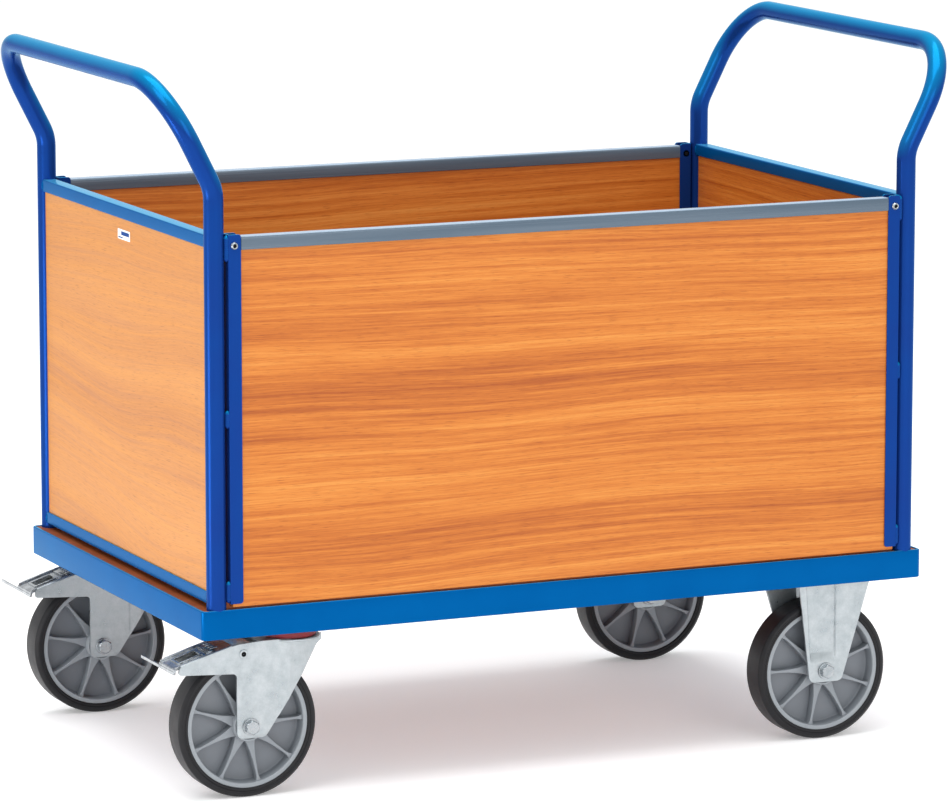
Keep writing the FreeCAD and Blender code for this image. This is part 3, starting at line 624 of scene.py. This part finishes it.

# Deck frame, bearers and end rails: faces that look nearly straight up blend to pale cyan, a painted
# highlight.
PAINT = blue_paint(
    "blue_paint", (0.0004, 0.080, 0.275), (0.0006, 0.092, 0.305), (0.06, 0.32, 0.58), 0.80
)
# Handle tubes and corner channels: a darker, more violet copy of the same blue paint, blending to azure
# on faces that look even a little up. Both are painted light and shade, for how light and reflections
# fall on the round tubes.
TUBE_PAINT = blue_paint(
    "blue_paint_tube", (0.0085, 0.038, 0.215), (0.0065, 0.046, 0.240), (0.0010, 0.235, 0.470), 0.08
)
BEECH = wood("beech_side", SIDE_TONES, "upright", 0.05, 0.38)
END_BEECH = wood("beech_end", END_TONES, "upright", 0.16, 0.38)
DECK_BEECH = wood("beech_deck", DECK_TONES, "flat", 0.05, 0.50)
ZINC = zinc_steel("zinc_steel", (0.34, 0.38, 0.40), (0.46, 0.50, 0.52), 0.34)
# The pedal's zinc is a darker copy of the fork zinc: its dull tone is painted shade for the dark deck
# underside that the tread reflects.
PEDAL_ZINC = zinc_steel("zinc_pedal", (0.22, 0.24, 0.26), (0.50, 0.53, 0.55), 0.18)
HOLE_SHADE = painted_hole_shade()
CAP_ZINC = cap_steel("cap_steel", (0.070, 0.108, 0.150), (0.105, 0.145, 0.190))
BOLT = bolt_steel()
PLASTIC = wheel_plastic()
RUBBER = tyre_rubber()
SEAL = seal_rubber()
LABEL = label_face()


# ---------------------------------------------------------------- deck


def rounded_rectangle(half_x, half_y, radius, steps=8):
    """The points of a rectangle in plan; a radius under zero leaves the corners sharp."""
    radius = max(radius, 0.0)
    points = []
    for quarter, (x, y) in enumerate(((1, 1), (-1, 1), (-1, -1), (1, -1))):
        centre = Vector((x * (half_x - radius), y * (half_y - radius)))
        for step in range(steps + 1):
            turn = math.pi / 2 * (quarter + step / steps)
            points.append(centre + Vector((math.cos(turn), math.sin(turn))) * radius)
    return points


def make_deck_frame():
    """The mitred angle rails as one welded and dressed frame."""
    thick = RAIL_THICK
    shelf = FRAME_BOTTOM + SHELF_LIFT
    profile = [
        (0, FRAME_BOTTOM),
        (0, DECK_TOP),
        (thick, DECK_TOP),
        (thick, shelf + thick),
        (RAIL_FLANGE, shelf + thick),
        (RAIL_FLANGE, shelf),
        (thick, shelf),
        (thick, FRAME_BOTTOM),
    ]
    radii = [0.0015, 0.0015, 0.001, 0.002, 0.001, 0.001, 0.002, 0.001]
    section = rounded(profile, radii, 4)
    bm = bmesh.new()
    loops = []
    for inset, z in section:
        outline = rounded_rectangle(
            DECK_HALF_LENGTH - inset, DECK_HALF_WIDTH - inset, DECK_CORNER - inset
        )
        loops.append([bm.verts.new((point.x, point.y, z)) for point in outline])
    grid_faces(bm, loops)
    rails = [f"deck_rail_{name}" for name in ("front", "rear", "left", "right")]
    finished("deck_frame", bm, "trolley", PAINT, rails)


def keep_deck_parts():
    """The cross bearers and the load board keep the part's own shapes."""
    for number in range(1, 6):
        kept(f"cross_bearer_{number}", PAINT, 0.0006)
    kept("deck_board", DECK_BEECH, 0.0008)


# ---------------------------------------------------------------- push handles


def make_handles():
    """Each handle is one bent tube, welded to the deck frame at both feet."""
    for end_name, end in ENDS.items():
        heights = (FRAME_BOTTOM + 0.012, KINK_HEIGHT, BAR_Z)
        reaches = (end * TUBE_X, end * TUBE_X, end * BAR_X)
        front = [Vector((x, -TUBE_Y, z)) for x, z in zip(reaches, heights)]
        rear = [Vector((point.x, TUBE_Y, point.z)) for point in reversed(front)]
        bends = [0, KINK_RADIUS, BAR_CORNER_RADIUS]
        bm = bmesh.new()
        tube(bm, arc_route(front + rear, bends + bends[::-1]), TUBE_RADIUS)
        node = f"push_handle_{end_name}"
        finished(f"{node}_tube", bm, "trolley", TUBE_PAINT, [node])


# ---------------------------------------------------------------- walls


def channel_outline(width, depth, wall, bend, square=False):
    """A U section open at the bottom: (across, height) points about its middle, top at zero."""
    half = width / 2
    points = [
        (-half, -depth),
        (-half, 0),
        (half, 0),
        (half, -depth),
        (half - wall, -depth),
        (half - wall, -wall),
        (-half + wall, -wall),
        (-half + wall, -depth),
    ]
    inner = max(bend - wall, 0.0004)
    tip = 0 if square else wall * 0.35
    return rounded(points, [tip, bend, bend, tip, tip, inner, inner, tip], 5)


def make_end_rails():
    """The U sections over and under each end panel, welded to the handle's legs."""
    weld_across = SECTION / 2
    weld_y = TUBE_Y - math.sqrt(TUBE_RADIUS**2 - weld_across**2)
    for end_name, end in ENDS.items():
        for level, turn in (("top", 1), ("low", -1)):
            node = f"{level}_rail_{end_name}"
            low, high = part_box(node)
            base = high.z if turn == 1 else low.z
            shape = [
                (end * TUBE_X + across, base + turn * height)
                for across, height in channel_outline(SECTION, high.z - low.z, SECTION_WALL, 0.0018)
            ]
            bm = bmesh.new()
            reach = TUBE_Y - TUBE_RADIUS * 0.6
            prism(bm, shape, "XZ", -reach, reach)
            for across in (-1, 1):
                for side in SIDES.values():
                    x = end * TUBE_X + across * (weld_across - 0.0008)
                    foot = (x, side * weld_y, low.z + 0.002)
                    bead(bm, foot, (x, side * weld_y, high.z - 0.003), 0.0022)
            finished(f"{node}_section", bm, "trolley", PAINT, [node])


def make_panel(node, material, trim=0.0):
    """One beech board; the trim draws its two ends in, to stay inside the corner channels."""
    low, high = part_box(node)
    bm = bmesh.new()
    left, right = low.x + trim, high.x - trim
    corners = [(left, low.y), (right, low.y), (right, high.y), (left, high.y)]
    prism(bm, corners, "XY", low.z, high.z)
    finished(f"{node}_board", bm, "trolley", material, [node], bevel=0.0008, steps=3)


def make_panels():
    """The four beech walls; the side ones stop inside their corner channels."""
    for end_name in ENDS:
        make_panel(f"end_panel_{end_name}", END_BEECH if end_name == "left" else BEECH)
    for side_name in SIDES:
        make_panel(f"side_panel_{side_name}", BEECH, WELD_GAP + SECTION_WALL)


def make_side_caps():
    """The galvanised strip folded over each side panel's top edge."""
    for side_name in SIDES:
        node = f"side_cap_{side_name}"
        low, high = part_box(node)
        middle_y = (low.y + high.y) / 2
        shape = [
            (middle_y + across, high.z + height)
            for across, height in channel_outline(high.y - low.y, high.z - low.z, 0.0016, 0.003)
        ]
        bm = bmesh.new()
        prism(bm, shape, "YZ", low.x, high.x)
        finished(f"{node}_strip", bm, "trolley", CAP_ZINC, [node])


def round_free_corners(bm, x, heights, radius):
    """Rounds the corners of a channel's flanges at their free edge, top and bottom."""
    corners = []
    for edge in bm.edges:
        start, end = (vert.co for vert in edge.verts)
        level = abs(start.z - end.z) < 1e-6 and min(abs(start.z - z) for z in heights) < 1e-6
        if level and abs(start.x - x) < 1e-6 and abs(end.x - x) < 1e-6:
            corners.append(edge)
    bmesh.ops.bevel(bm, geom=corners, offset=radius, segments=5, affect="EDGES", profile=0.5)


def make_corner_channels():
    """Upright channels over the side panels' ends, stitch welded to the handle's legs."""
    for end_name, end in ENDS.items():
        for side_name, side in SIDES.items():
            node = f"corner_channel_{side_name}_{end_name}"
            low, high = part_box(node)
            face = end * (TUBE_X - TUBE_RADIUS - WELD_GAP)
            depth = CHANNEL_DEPTH - WELD_GAP
            middle_y = side * (DECK_HALF_WIDTH - SECTION / 2)
            shape = [
                (face + end * height, middle_y + across)
                for across, height in channel_outline(
                    SECTION, depth, SECTION_WALL, 0.0014, square=True
                )
            ]
            bm = bmesh.new()
            prism(bm, shape, "XY", low.z, high.z)
            round_free_corners(bm, face - end * depth, (low.z, high.z), 0.004)
            weld_x = end * (TUBE_X - TUBE_RADIUS - 0.001)
            weld_y = side * (DECK_HALF_WIDTH - 0.0045)
            stitches = [(low.z + 0.001, 0.030), (low.z + 0.238, 0.025), (high.z - 0.037, 0.036)]
            for foot, length in stitches:
                bead(bm, (weld_x, weld_y, foot), (weld_x, weld_y, foot + length), 0.0042)
            finished(
                f"{node}_section", bm, "trolley", TUBE_PAINT, [node], bevel=0.0004
            )


def make_wall_fasteners():
    """The socket screw of each corner channel with its sleeve nut inside."""
    low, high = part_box("wall_fasteners")
    head_radius = 0.005
    head_height = 0.0034
    socket_radius = 0.0026
    head_x = high.x - head_radius
    z = (low.z + high.z) / 2
    outside = DECK_HALF_WIDTH
    inside = outside - SECTION
    dome = [
        (socket_radius, 0.0),
        (head_radius, 0.0),
        (head_radius, 0.0018),
        (0.0040, head_height),
        (0.0029, head_height),
        (socket_radius, 0.0030),
    ]
    bm = bmesh.new()
    sockets = bmesh.new()
    for end in ENDS.values():
        for side in SIDES.values():
            head = [(radius, side * height) for radius, height in dome]
            turned(bm, head, Vector((end * head_x, side * outside, z)), "Y", 40)
            turned(bm, head, Vector((end * head_x, side * inside, z)), "Y", 40)
            # A near-black hex in each head is painted shade for the deep hex socket.
            for start in (outside - 0.001, inside - 0.001):
                socket = Vector((end * head_x, side * start, z))
                hex_head(sockets, socket, (0, side, 0), 0.0054, 0.0030)
    finished("wall_screws", bm, "trolley", BOLT, ["wall_fasteners"])
    finished("wall_screw_sockets", sockets, "trolley", HOLE_SHADE)


def make_label():
    """The white plate on the left end panel, with two plain printed bars for lettering."""
    low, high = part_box("label_plate")
    outline = rounded_rectangle((high.y - low.y) / 2, (high.z - low.z) / 2, 0.0012, 4)
    middle_y = (low.y + high.y) / 2
    middle_z = (low.z + high.z) / 2
    bm = bmesh.new()
    prism(bm, [(middle_y + y, middle_z + z) for y, z in outline], "YZ", low.x + 0.0002, high.x)
    finished("label_sheet", bm, "trolley", LABEL, ["label_plate"], bevel=0.00015)
    bars = bmesh.new()
    upper_bar = (-0.021, 0.010, -0.001, 0.0045)
    lower_bar = (0.004, 0.021, -0.0052, -0.0034)
    for left, right, foot, top in (upper_bar, lower_bar):
        corners = [(left, foot), (right, foot), (right, top), (left, top)]
        mark = [(middle_y + y, middle_z + z) for y, z in rounded(corners, [0.0008] * 4, 3)]
        prism(bars, mark, "YZ", low.x + 0.0001, low.x + 0.0004)
    finished("label_print", bars, "trolley", TUBE_PAINT)


# ---------------------------------------------------------------- wheels


def make_tyre(node, body):
    """A solid tyre with a moulded bead ring at its rim and rounded shoulders."""
    wide = WHEEL_HALF_WIDTH
    rim = 0.087
    half = [
        (rim, wide - 0.0020),
        (rim + 0.0015, wide - 0.0005),
        (rim + 0.0038, wide - 0.0004),
        (rim + 0.0044, wide - 0.0009),
        (rim + 0.0050, wide - 0.0002),
        (WHEEL_RADIUS - 0.0045, wide - 0.0008),
        (WHEEL_RADIUS, 0.0185),
    ]
    radii = [0, 0.0006, 0, 0, 0.0003, 0.003, 0.0045]
    outline = half + [(radius, -y) for radius, y in reversed(half)]
    bm = bmesh.new()
    turned(bm, rounded(outline, radii + radii[::-1], 5), middle(node), "Y", 160)
    finished(f"{node}_tread", bm, body, RUBBER, [node])


def rib_outline(hub, rim):
    """Half the plan of one rib: (radius, half width), wide at the hub and flared at the rim."""
    return [
        (hub - 0.002, 0.0078),
        (hub + 0.006, 0.0056),
        (hub + 0.016, 0.0036),
        (hub + 0.030, 0.0022),
        (rim - 0.012, 0.0016),
        (rim - 0.005, 0.0019),
        (rim + 0.0015, 0.0040),
    ]


def make_wheel_centre(node, body, phase):
    """Hub, thin web, rim ring and nine tapered ribs on each face, moulded in one."""
    hub = 0.022
    ring = 0.080
    centre = middle(node)
    half = [
        (0.009, 0.026),
        (0.0165, 0.026),
        (0.0170, 0.0245),
        (0.0185, 0.0245),
        (0.0190, 0.026),
        (hub - 0.0005, 0.026),
        (hub + 0.001, 0.003),
        (ring - 0.001, 0.003),
        (ring + 0.0008, 0.0195),
        (ring + 0.0016, 0.0205),
        (0.087, 0.0205),
    ]
    radii = [0.0006, 0.0003, 0.0003, 0.0003, 0.0003, 0.0012, 0.002, 0.0025, 0.0005, 0.0004, 0.0006]
    outline = half + [(radius, -y) for radius, y in reversed(half)]
    bm = bmesh.new()
    turned(bm, rounded(outline, radii + radii[::-1], 4), centre, "Y", 144)
    plan = rib_outline(hub, ring)
    plan += [(x, -z) for x, z in reversed(plan)]
    for rib in range(9):
        turn = Matrix.Rotation(math.radians(phase + 40 * rib), 2)
        spots = [turn @ Vector(point) for point in plan]
        shape = [(centre.x + spot.x, centre.z + spot.y) for spot in spots]
        prism(bm, shape, "XZ", centre.y - 0.017, centre.y + 0.017)
    piece = finished(f"{node}_moulding", bm, body, PLASTIC, [node])
    soften_edges(piece, 0.0006, 2, 40)


def make_wheels():
    """The four wheels; each phase is how far its ribs are turned, in degrees."""
    phases = {"swivel_front": 2.0, "swivel_rear": 8.5, "fixed_front": 19.0, "fixed_rear": 15.0}
    for place, phase in phases.items():
        body = f"wheel_{place}"
        make_tyre(f"tyre_{place}", body)
        make_wheel_centre(f"wheel_centre_{place}", body, phase)
        kept(f"bearing_{place}", BOLT, 0.0004)


# ---------------------------------------------------------------- casters


def make_axle(node, caster):
    """An axle bolt with its washers and nut across a fork."""
    low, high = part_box(node)
    centre = Vector(((low.x + high.x) / 2, 0, (low.z + high.z) / 2))
    middle_y = caster * CASTER_TRACK
    half = FORK_HALF_WIDTH
    radius = 0.006
    bm = bmesh.new()
    washer = rounded(
        [(radius, 0), (0.012, 0), (0.012, 0.0025), (radius, 0.0025)], [0, 0.0006, 0.0006, 0], 3
    )
    threads = [(0.0005, -half + 0.001), (radius, -half + 0.001), (radius, half + 0.002)]
    pitch = 0.00125
    for turn in range(10):
        y = half + 0.002 + turn * pitch
        threads += [(radius, y), (radius - 0.0007, y + pitch / 2)]
    threads += [(radius - 0.001, half + 0.015), (0.0005, half + 0.015)]
    turned(bm, threads, Vector((centre.x, middle_y, centre.z)), "Y", 40)
    for side in (-1, 1):
        face = Vector((centre.x, middle_y + side * half, centre.z))
        turned(bm, [(reach, side * depth) for reach, depth in washer], face, "Y", 48)
        base = face + Vector((0, side * 0.0025, 0))
        hex_head(bm, base, (0, side, 0), 0.018, 0.0065 if side < 0 else 0.009)
    return bm


def swivel_cheek(bm, base, side):
    """One pressed cheek of a swivel fork: flat behind, creased, and drawn in at the nose."""
    outline = [
        (0.043, CROWN_TOP),
        (-0.050, CROWN_TOP),
        (-0.088, 0.2145),
        (-0.170, 0.190),
        (-0.172, 0.179),
        (-0.088, 0.1745),
        (-0.088, FORK_FOOT),
        (-0.047, FORK_FOOT),
        (0.034, 0.203),
        (0.043, 0.209),
    ]
    radii = [0, 0.040, 0.060, 0.006, 0.004, 0.006, 0.009, 0.009, 0.004, 0.003]
    shape = rounded(outline, radii, 8)

    def depth(x, z):
        ridge = 0.0011 * blend_between(x, -0.030, -0.026) * (1 - blend_between(x, -0.012, -0.006))
        drawn = 0.003 * blend_between(x, -0.012, 0.008)
        nose = 0.016 * max(x - 0.006, 0.0) / 0.038
        edge = 0.0012 * (1 - blend_between(z, FORK_FOOT, FORK_FOOT + 0.006))
        return FORK_HALF_WIDTH + ridge - drawn - nose - edge

    creases = (-0.030, -0.028, -0.026, -0.012, -0.009, -0.006)
    nose_rows = (0.0, 0.006, 0.014, 0.022, 0.030, 0.037)
    cuts = [((x, 0), (1, 0)) for x in creases + nose_rows]
    cuts += [((0, z), (0, 1)) for z in (0.087, 0.090)]
    world = [(base.x + x, z) for x, z in shape]
    world_cuts = [((base.x + point[0], point[1]), normal) for point, normal in cuts]

    def outer_y(x, z):
        return base.y + side * depth(x - base.x, z)

    sheet(bm, world, world_cuts, outer_y, -side, FORK_THICK)


def arm_flange(bm, base, side):
    """The edge of a brake arm, folded in along its sloping top."""
    top = [(-0.094, 0.2125), (-0.130, 0.2022), (-0.168, 0.1905)]
    outer = base.y + side * (FORK_HALF_WIDTH - 0.0004)
    inner = base.y + side * (FORK_HALF_WIDTH - FORK_THICK - 0.0002)
    for (x0, z0), (x1, z1) in zip(top, top[1:]):
        start = Vector((base.x + x0, (outer + inner) / 2, z0))
        end = Vector((base.x + x1, (outer + inner) / 2, z1))
        tube(bm, [start, end], FORK_THICK / 2 - 0.0001, 16)


def make_swivel_fork(side_name, side):
    """A swivel fork: two cheeks with brake arms under a round crown with a rolled rim."""
    base = Vector((SWIVEL_X, side * CASTER_TRACK, 0))
    bm = bmesh.new()
    for cheek in (-1, 1):
        swivel_cheek(bm, base, cheek)
        arm_flange(bm, base, cheek)
    rim = [(0.0365, -0.0035), (0.043, -0.0035), (0.043, 0.0), (0.0405, 0.0), (0.0365, -0.0012)]
    crown = [(0.0061, -0.0035), (0.0365, -0.0035), (0.0365, -0.0012), (0.0061, -0.0012)]
    centre = base + Vector((0, 0, CROWN_TOP))
    turned(bm, rounded(rim, [0, 0.0016, 0.0016, 0.001, 0], 5), centre, "Z", 96)
    turned(bm, crown, centre, "Z", 64)
    half = FORK_HALF_WIDTH - 0.001
    web = [(-0.056, -half), (-0.056, half), (-0.004, half), (-0.004, -half)]
    web_plan = [(base.x + x, base.y + y) for x, y in web]
    prism(bm, web_plan, "XY", CROWN_TOP - FORK_THICK, CROWN_TOP - 0.0003)
    node = f"swivel_fork_{side_name}"
    finished(f"{node}_pressing", bm, f"swivel_{side_name}", ZINC, [node], bevel=0.0007)


def make_fixed_fork(side_name, side):
    """A rigid fork: two cheeks with a broad pressed channel, under a plate welded on top."""
    node = f"fixed_fork_{side_name}"
    low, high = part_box(node)
    base = Vector((middle(f"tyre_fixed_{side_name}").x, side * CASTER_TRACK, 0))
    top = high.z - PLATE_THICK
    corners = [(-0.043, top), (-0.025, FORK_FOOT), (0.025, FORK_FOOT), (0.0715, top)]
    shape = rounded(corners, [0, 0.009, 0.009, 0], 8)
    lean = 0.0095 / (top - FORK_FOOT)

    def depth(x, z):
        shift = x + lean * (z - FORK_FOOT)
        pressed = blend_between(shift, -0.0230, -0.0205) * (1 - blend_between(x, 0.0135, 0.0165))
        fade = blend_between(z, 0.112, 0.128)
        flare = 0.0016 * blend_between(x, 0.030, 0.0715)
        tuck = 0.0008 * (1 - blend_between(shift, -0.030, -0.024))
        return FORK_HALF_WIDTH - 0.0004 - PRESS_DEPTH * pressed * fade - (flare + tuck)

    normal = (1.0, lean)
    cuts = [((x, FORK_FOOT), normal) for x in (-0.030, -0.024, -0.0230, -0.0222, -0.0213, -0.0205)]
    cuts += [((x, 0), (1, 0)) for x in (0.0135, 0.0145, 0.0155, 0.0165, 0.030, 0.045)]
    cuts += [((0, z), (0, 1)) for z in (0.112, 0.116, 0.120, 0.124, 0.128)]
    bm = bmesh.new()
    for cheek in (-1, 1):
        flip = -cheek
        world = [(base.x + flip * x, z) for x, z in shape]
        world_cuts = [
            ((base.x + flip * point[0], point[1]), (flip * way[0], way[1])) for point, way in cuts
        ]

        def outer_y(x, z, cheek=cheek, flip=flip):
            return base.y + cheek * depth(flip * (x - base.x), z)

        sheet(bm, world, world_cuts, outer_y, -cheek, FORK_THICK)
    half_plate = (high.y - low.y) / 2
    plate = rounded_rectangle(0.070, half_plate, 0.008)
    prism(bm, [(base.x + x, base.y + y) for x, y in plate], "XY", top, high.z)
    finished(f"{node}_pressing", bm, "trolley", ZINC, [node], bevel=0.0007)


def make_pedal(side_name, side):
    """The pressed brake pedal: a sloped tread with folded edges, a framed window and a spring."""
    node = f"brake_pedal_{side_name}"
    base = Vector((SWIVEL_X, side * CASTER_TRACK, 0))
    half = 0.0285
    thick = 0.0025
    slope_start = Vector((-0.092, 0.2135))
    slope_end = Vector((-0.176, 0.1875))
    along = (slope_end - slope_start).normalized()
    up = Vector((along.y, -along.x))
    up = up if up.y > 0 else -up

    def on_tread(distance, y, lift):
        spot = slope_start + along * distance + up * lift
        return Vector((base.x + spot.x, base.y + y, spot.y))

    def tread_block(bm, start, end, y0, y1, low, high):
        corners = []
        for distance, lift in ((start, low), (end, low), (end, high), (start, high)):
            corners.append((distance, lift))
        near = [bm.verts.new(on_tread(distance, y0, lift)) for distance, lift in corners]
        far = [bm.verts.new(on_tread(distance, y1, lift)) for distance, lift in corners]
        grid_faces(bm, [near, far], closed_rows=False)
        bm.faces.new(near)
        bm.faces.new(far)

    length = (slope_end - slope_start).length
    window_start, window_end, window_half = 0.043, 0.074, 0.012
    frame_wide = 0.003
    frame_half = window_half + frame_wide
    bm = bmesh.new()
    tread_block(bm, 0, window_start, -half, half, -thick, 0)
    tread_block(bm, window_end, length, -half, half, -thick, 0)
    for way in (-1, 1):
        tread_block(bm, window_start, window_end, way * window_half, way * half, -thick, 0)
        tread_block(bm, 0.030, length - 0.001, way * half, way * (half - thick), 0, 0.0022)
    for start in (window_start - frame_wide, window_end):
        tread_block(bm, start, start + frame_wide, -frame_half, frame_half, -0.001, 0.0016)
    for way in (-1, 1):
        tread_block(bm, window_start, window_end, way * window_half, way * frame_half, -0.001, 0.0016)
    lug = [
        (-0.064, 0.2135),
        (-0.092, 0.2135),
        (-0.118, 0.2055),
        (-0.112, 0.200),
        (-0.086, 0.193),
        (-0.070, 0.193),
    ]
    world = [(base.x + x, z) for x, z in rounded(lug, [0.002, 0.01, 0.004, 0.004, 0.006, 0.006], 5)]
    for way in (-1, 1):
        prism(bm, world, "XZ", base.y + way * half, base.y + way * (half - thick))
    bridge = [(-0.062, 0.211), (-0.062, 0.2135), (-0.0925, 0.2135), (-0.0925, 0.211)]
    prism(bm, [(base.x + x, z) for x, z in bridge], "XZ", base.y - half, base.y + half)
    lip = [(-0.178, 0.180), (-0.1755, 0.180), (-0.1738, 0.1852), (-0.1752, 0.1878), (-0.1768, 0.1868)]
    prism(bm, [(base.x + x, z) for x, z in lip], "XZ", base.y - half, base.y + half)
    pad = [(-0.126, 0.1975), (-0.110, 0.1975), (-0.110, 0.206), (-0.126, 0.206)]
    prism(bm, [(base.x + x, z) for x, z in pad], "XZ", base.y - 0.017, base.y + 0.017)
    bar = [(-0.178, 0.180), (-0.1755, 0.180), (-0.1755, 0.184), (-0.178, 0.184)]
    prism(bm, [(base.x + x, z) for x, z in bar], "XZ", base.y - half, base.y + half + 0.066)
    spring = []
    for turn in range(9):
        y = -0.018 + 0.0045 * turn
        spring.append(on_tread(0.018 + (0.010 if turn % 2 else 0.0), y, 0.0032))
    tube(bm, arc_route(spring, [0.0012] * len(spring), 5), 0.0011, 12)
    body = f"pedal_{side_name}"
    finished(f"{node}_pressing", bm, body, PEDAL_ZINC, [node], bevel=0.0005)


def make_rivets(side_name, side):
    """Two hollow rivets through a fork's cheeks, each with a near-black plug in its bore as painted
    shade for the hollow inside.
    """
    node = f"brake_rivets_{side_name}"
    low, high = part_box(node)
    centre = Vector(((low.x + high.x) / 2, side * CASTER_TRACK, (low.z + high.z) / 2))
    proud = 0.0012
    depth = 0.0060
    bore = 0.0034
    shell = [(bore, -depth), (0.0049, -depth), (0.0049, 0), (0.0065, 0), (0.0065, proud), (bore, proud)]
    section = rounded(shell, [0, 0, 0, 0.0003, 0.0009, 0.0004], 4)
    rivets = bmesh.new()
    shade_plugs = bmesh.new()
    for cheek in (-1, 1):
        face = centre + Vector((0, cheek * FORK_HALF_WIDTH, 0))
        turned(rivets, [(radius, cheek * y) for radius, y in section], face, "Y", 48)
        # The near-black plug filling the bore is painted shade.
        shade_plug = [(0.0003, -depth), (bore, -depth), (bore, 0.0003), (0.0003, 0.0003)]
        turned(shade_plugs, [(radius, cheek * y) for radius, y in shade_plug], face, "Y", 32)
    finished(f"{node}_shell", rivets, f"swivel_{side_name}", ZINC, [node])
    finished(f"{node}_pin", shade_plugs, f"swivel_{side_name}", HOLE_SHADE)


def make_casters():
    """Both kinds of caster on each side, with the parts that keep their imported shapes."""
    for side_name, side in SIDES.items():
        make_swivel_fork(side_name, side)
        make_fixed_fork(side_name, side)
        make_pedal(side_name, side)
        for kind, body in (("swivel", f"swivel_{side_name}"), ("fixed", "trolley")):
            node = f"{kind}_axle_{side_name}"
            bm = make_axle(node, side)
            finished(f"{node}_bolt", bm, body, BOLT, [node], bevel=0.0003)
        kept(f"swivel_plate_{side_name}", ZINC, 0.0006)
        kept(f"king_bolt_{side_name}", BOLT, 0.0004)
        kept(f"swivel_seal_{side_name}", SEAL, 0.0008)
        make_rivets(side_name, side)
    kept("caster_fasteners", BOLT, 0.0004)


# ---------------------------------------------------------------- studio


def make_floor():
    """A wide pale floor with a faint mottling."""
    bm = bmesh.new()
    prism(bm, rounded_rectangle(40, 40, 1.0), "XY", -0.02, 0.0)
    material, tree, shader = surface("studio_floor", Roughness=0.9, Emission_Strength=0.25)
    cloud = noise(tree, place_of(tree, (1, 1, 1)), 0.8, 3.0)
    tone = ramp(tree, cloud, [(0.3, (0.86, 0.86, 0.87)), (0.7, (0.90, 0.90, 0.90))])
    tree.links.new(tone, shader.inputs["Base Color"])
    bmesh.ops.recalc_face_normals(bm, faces=bm.faces)
    mesh = bpy.data.meshes.new("studio_floor")
    bm.to_mesh(mesh)
    bm.free()
    mesh.materials.append(material)
    floor = bpy.data.objects.new("studio_floor", mesh)
    bpy.context.scene.collection.objects.link(floor)


def area_light(name, place, target, size, power):
    """A square soft light aimed at a target."""
    light = bpy.data.lights.new(name, "AREA")
    light.shape = "SQUARE"
    light.size = size
    light.energy = power
    lamp = bpy.data.objects.new(name, light)
    lamp.location = place
    lamp.rotation_euler = (Vector(target) - Vector(place)).to_track_quat("-Z", "Y").to_euler()
    bpy.context.scene.collection.objects.link(lamp)


def make_studio():
    """A white surround, a key light from the left, and soft fills over and before the trolley."""
    make_floor()
    world = bpy.data.worlds.new("studio")
    bpy.context.scene.world = world
    world.use_nodes = True
    backdrop = world.node_tree.nodes["Background"]
    backdrop.inputs["Color"].default_value = (1.0, 1.0, 1.0, 1.0)
    backdrop.inputs["Strength"].default_value = 0.85
    area_light("key", (-3.4, -1.6, 4.2), (0, 0, 0.4), 2.4, 60)
    area_light("floor_glow", (-2.1, -0.3, 0.12), (-0.52, 0, 0.30), 0.7, 10)
    area_light("overhead", (0.0, 0.0, 6.0), (0, 0, 0), 5.0, 260)
    area_light("front_fill", (0.5, -5.0, 2.2), (0, 0, 0.5), 2.5, 52)


def make_camera():
    """A long lens from the front left, a little above the walls."""
    camera = bpy.data.cameras.new("photo_view")
    camera.sensor_width = 36.0
    camera.lens = 212.4
    camera.clip_end = 100.0
    viewer = bpy.data.objects.new("photo_view", camera)
    viewer.location = (-3.1987, -7.1998, 1.7853)
    viewer.rotation_euler = tuple(math.radians(angle) for angle in (80.49, 0.0, -23.99))
    bpy.context.scene.collection.objects.link(viewer)
    bpy.context.scene.camera = viewer
    bpy.context.scene.view_settings.view_transform = "Standard"


# ---------------------------------------------------------------- build


make_deck_frame()
keep_deck_parts()
make_handles()
make_end_rails()
make_panels()
make_side_caps()
make_corner_channels()
make_wall_fasteners()
make_label()
make_wheels()
make_casters()
make_studio()
make_camera()
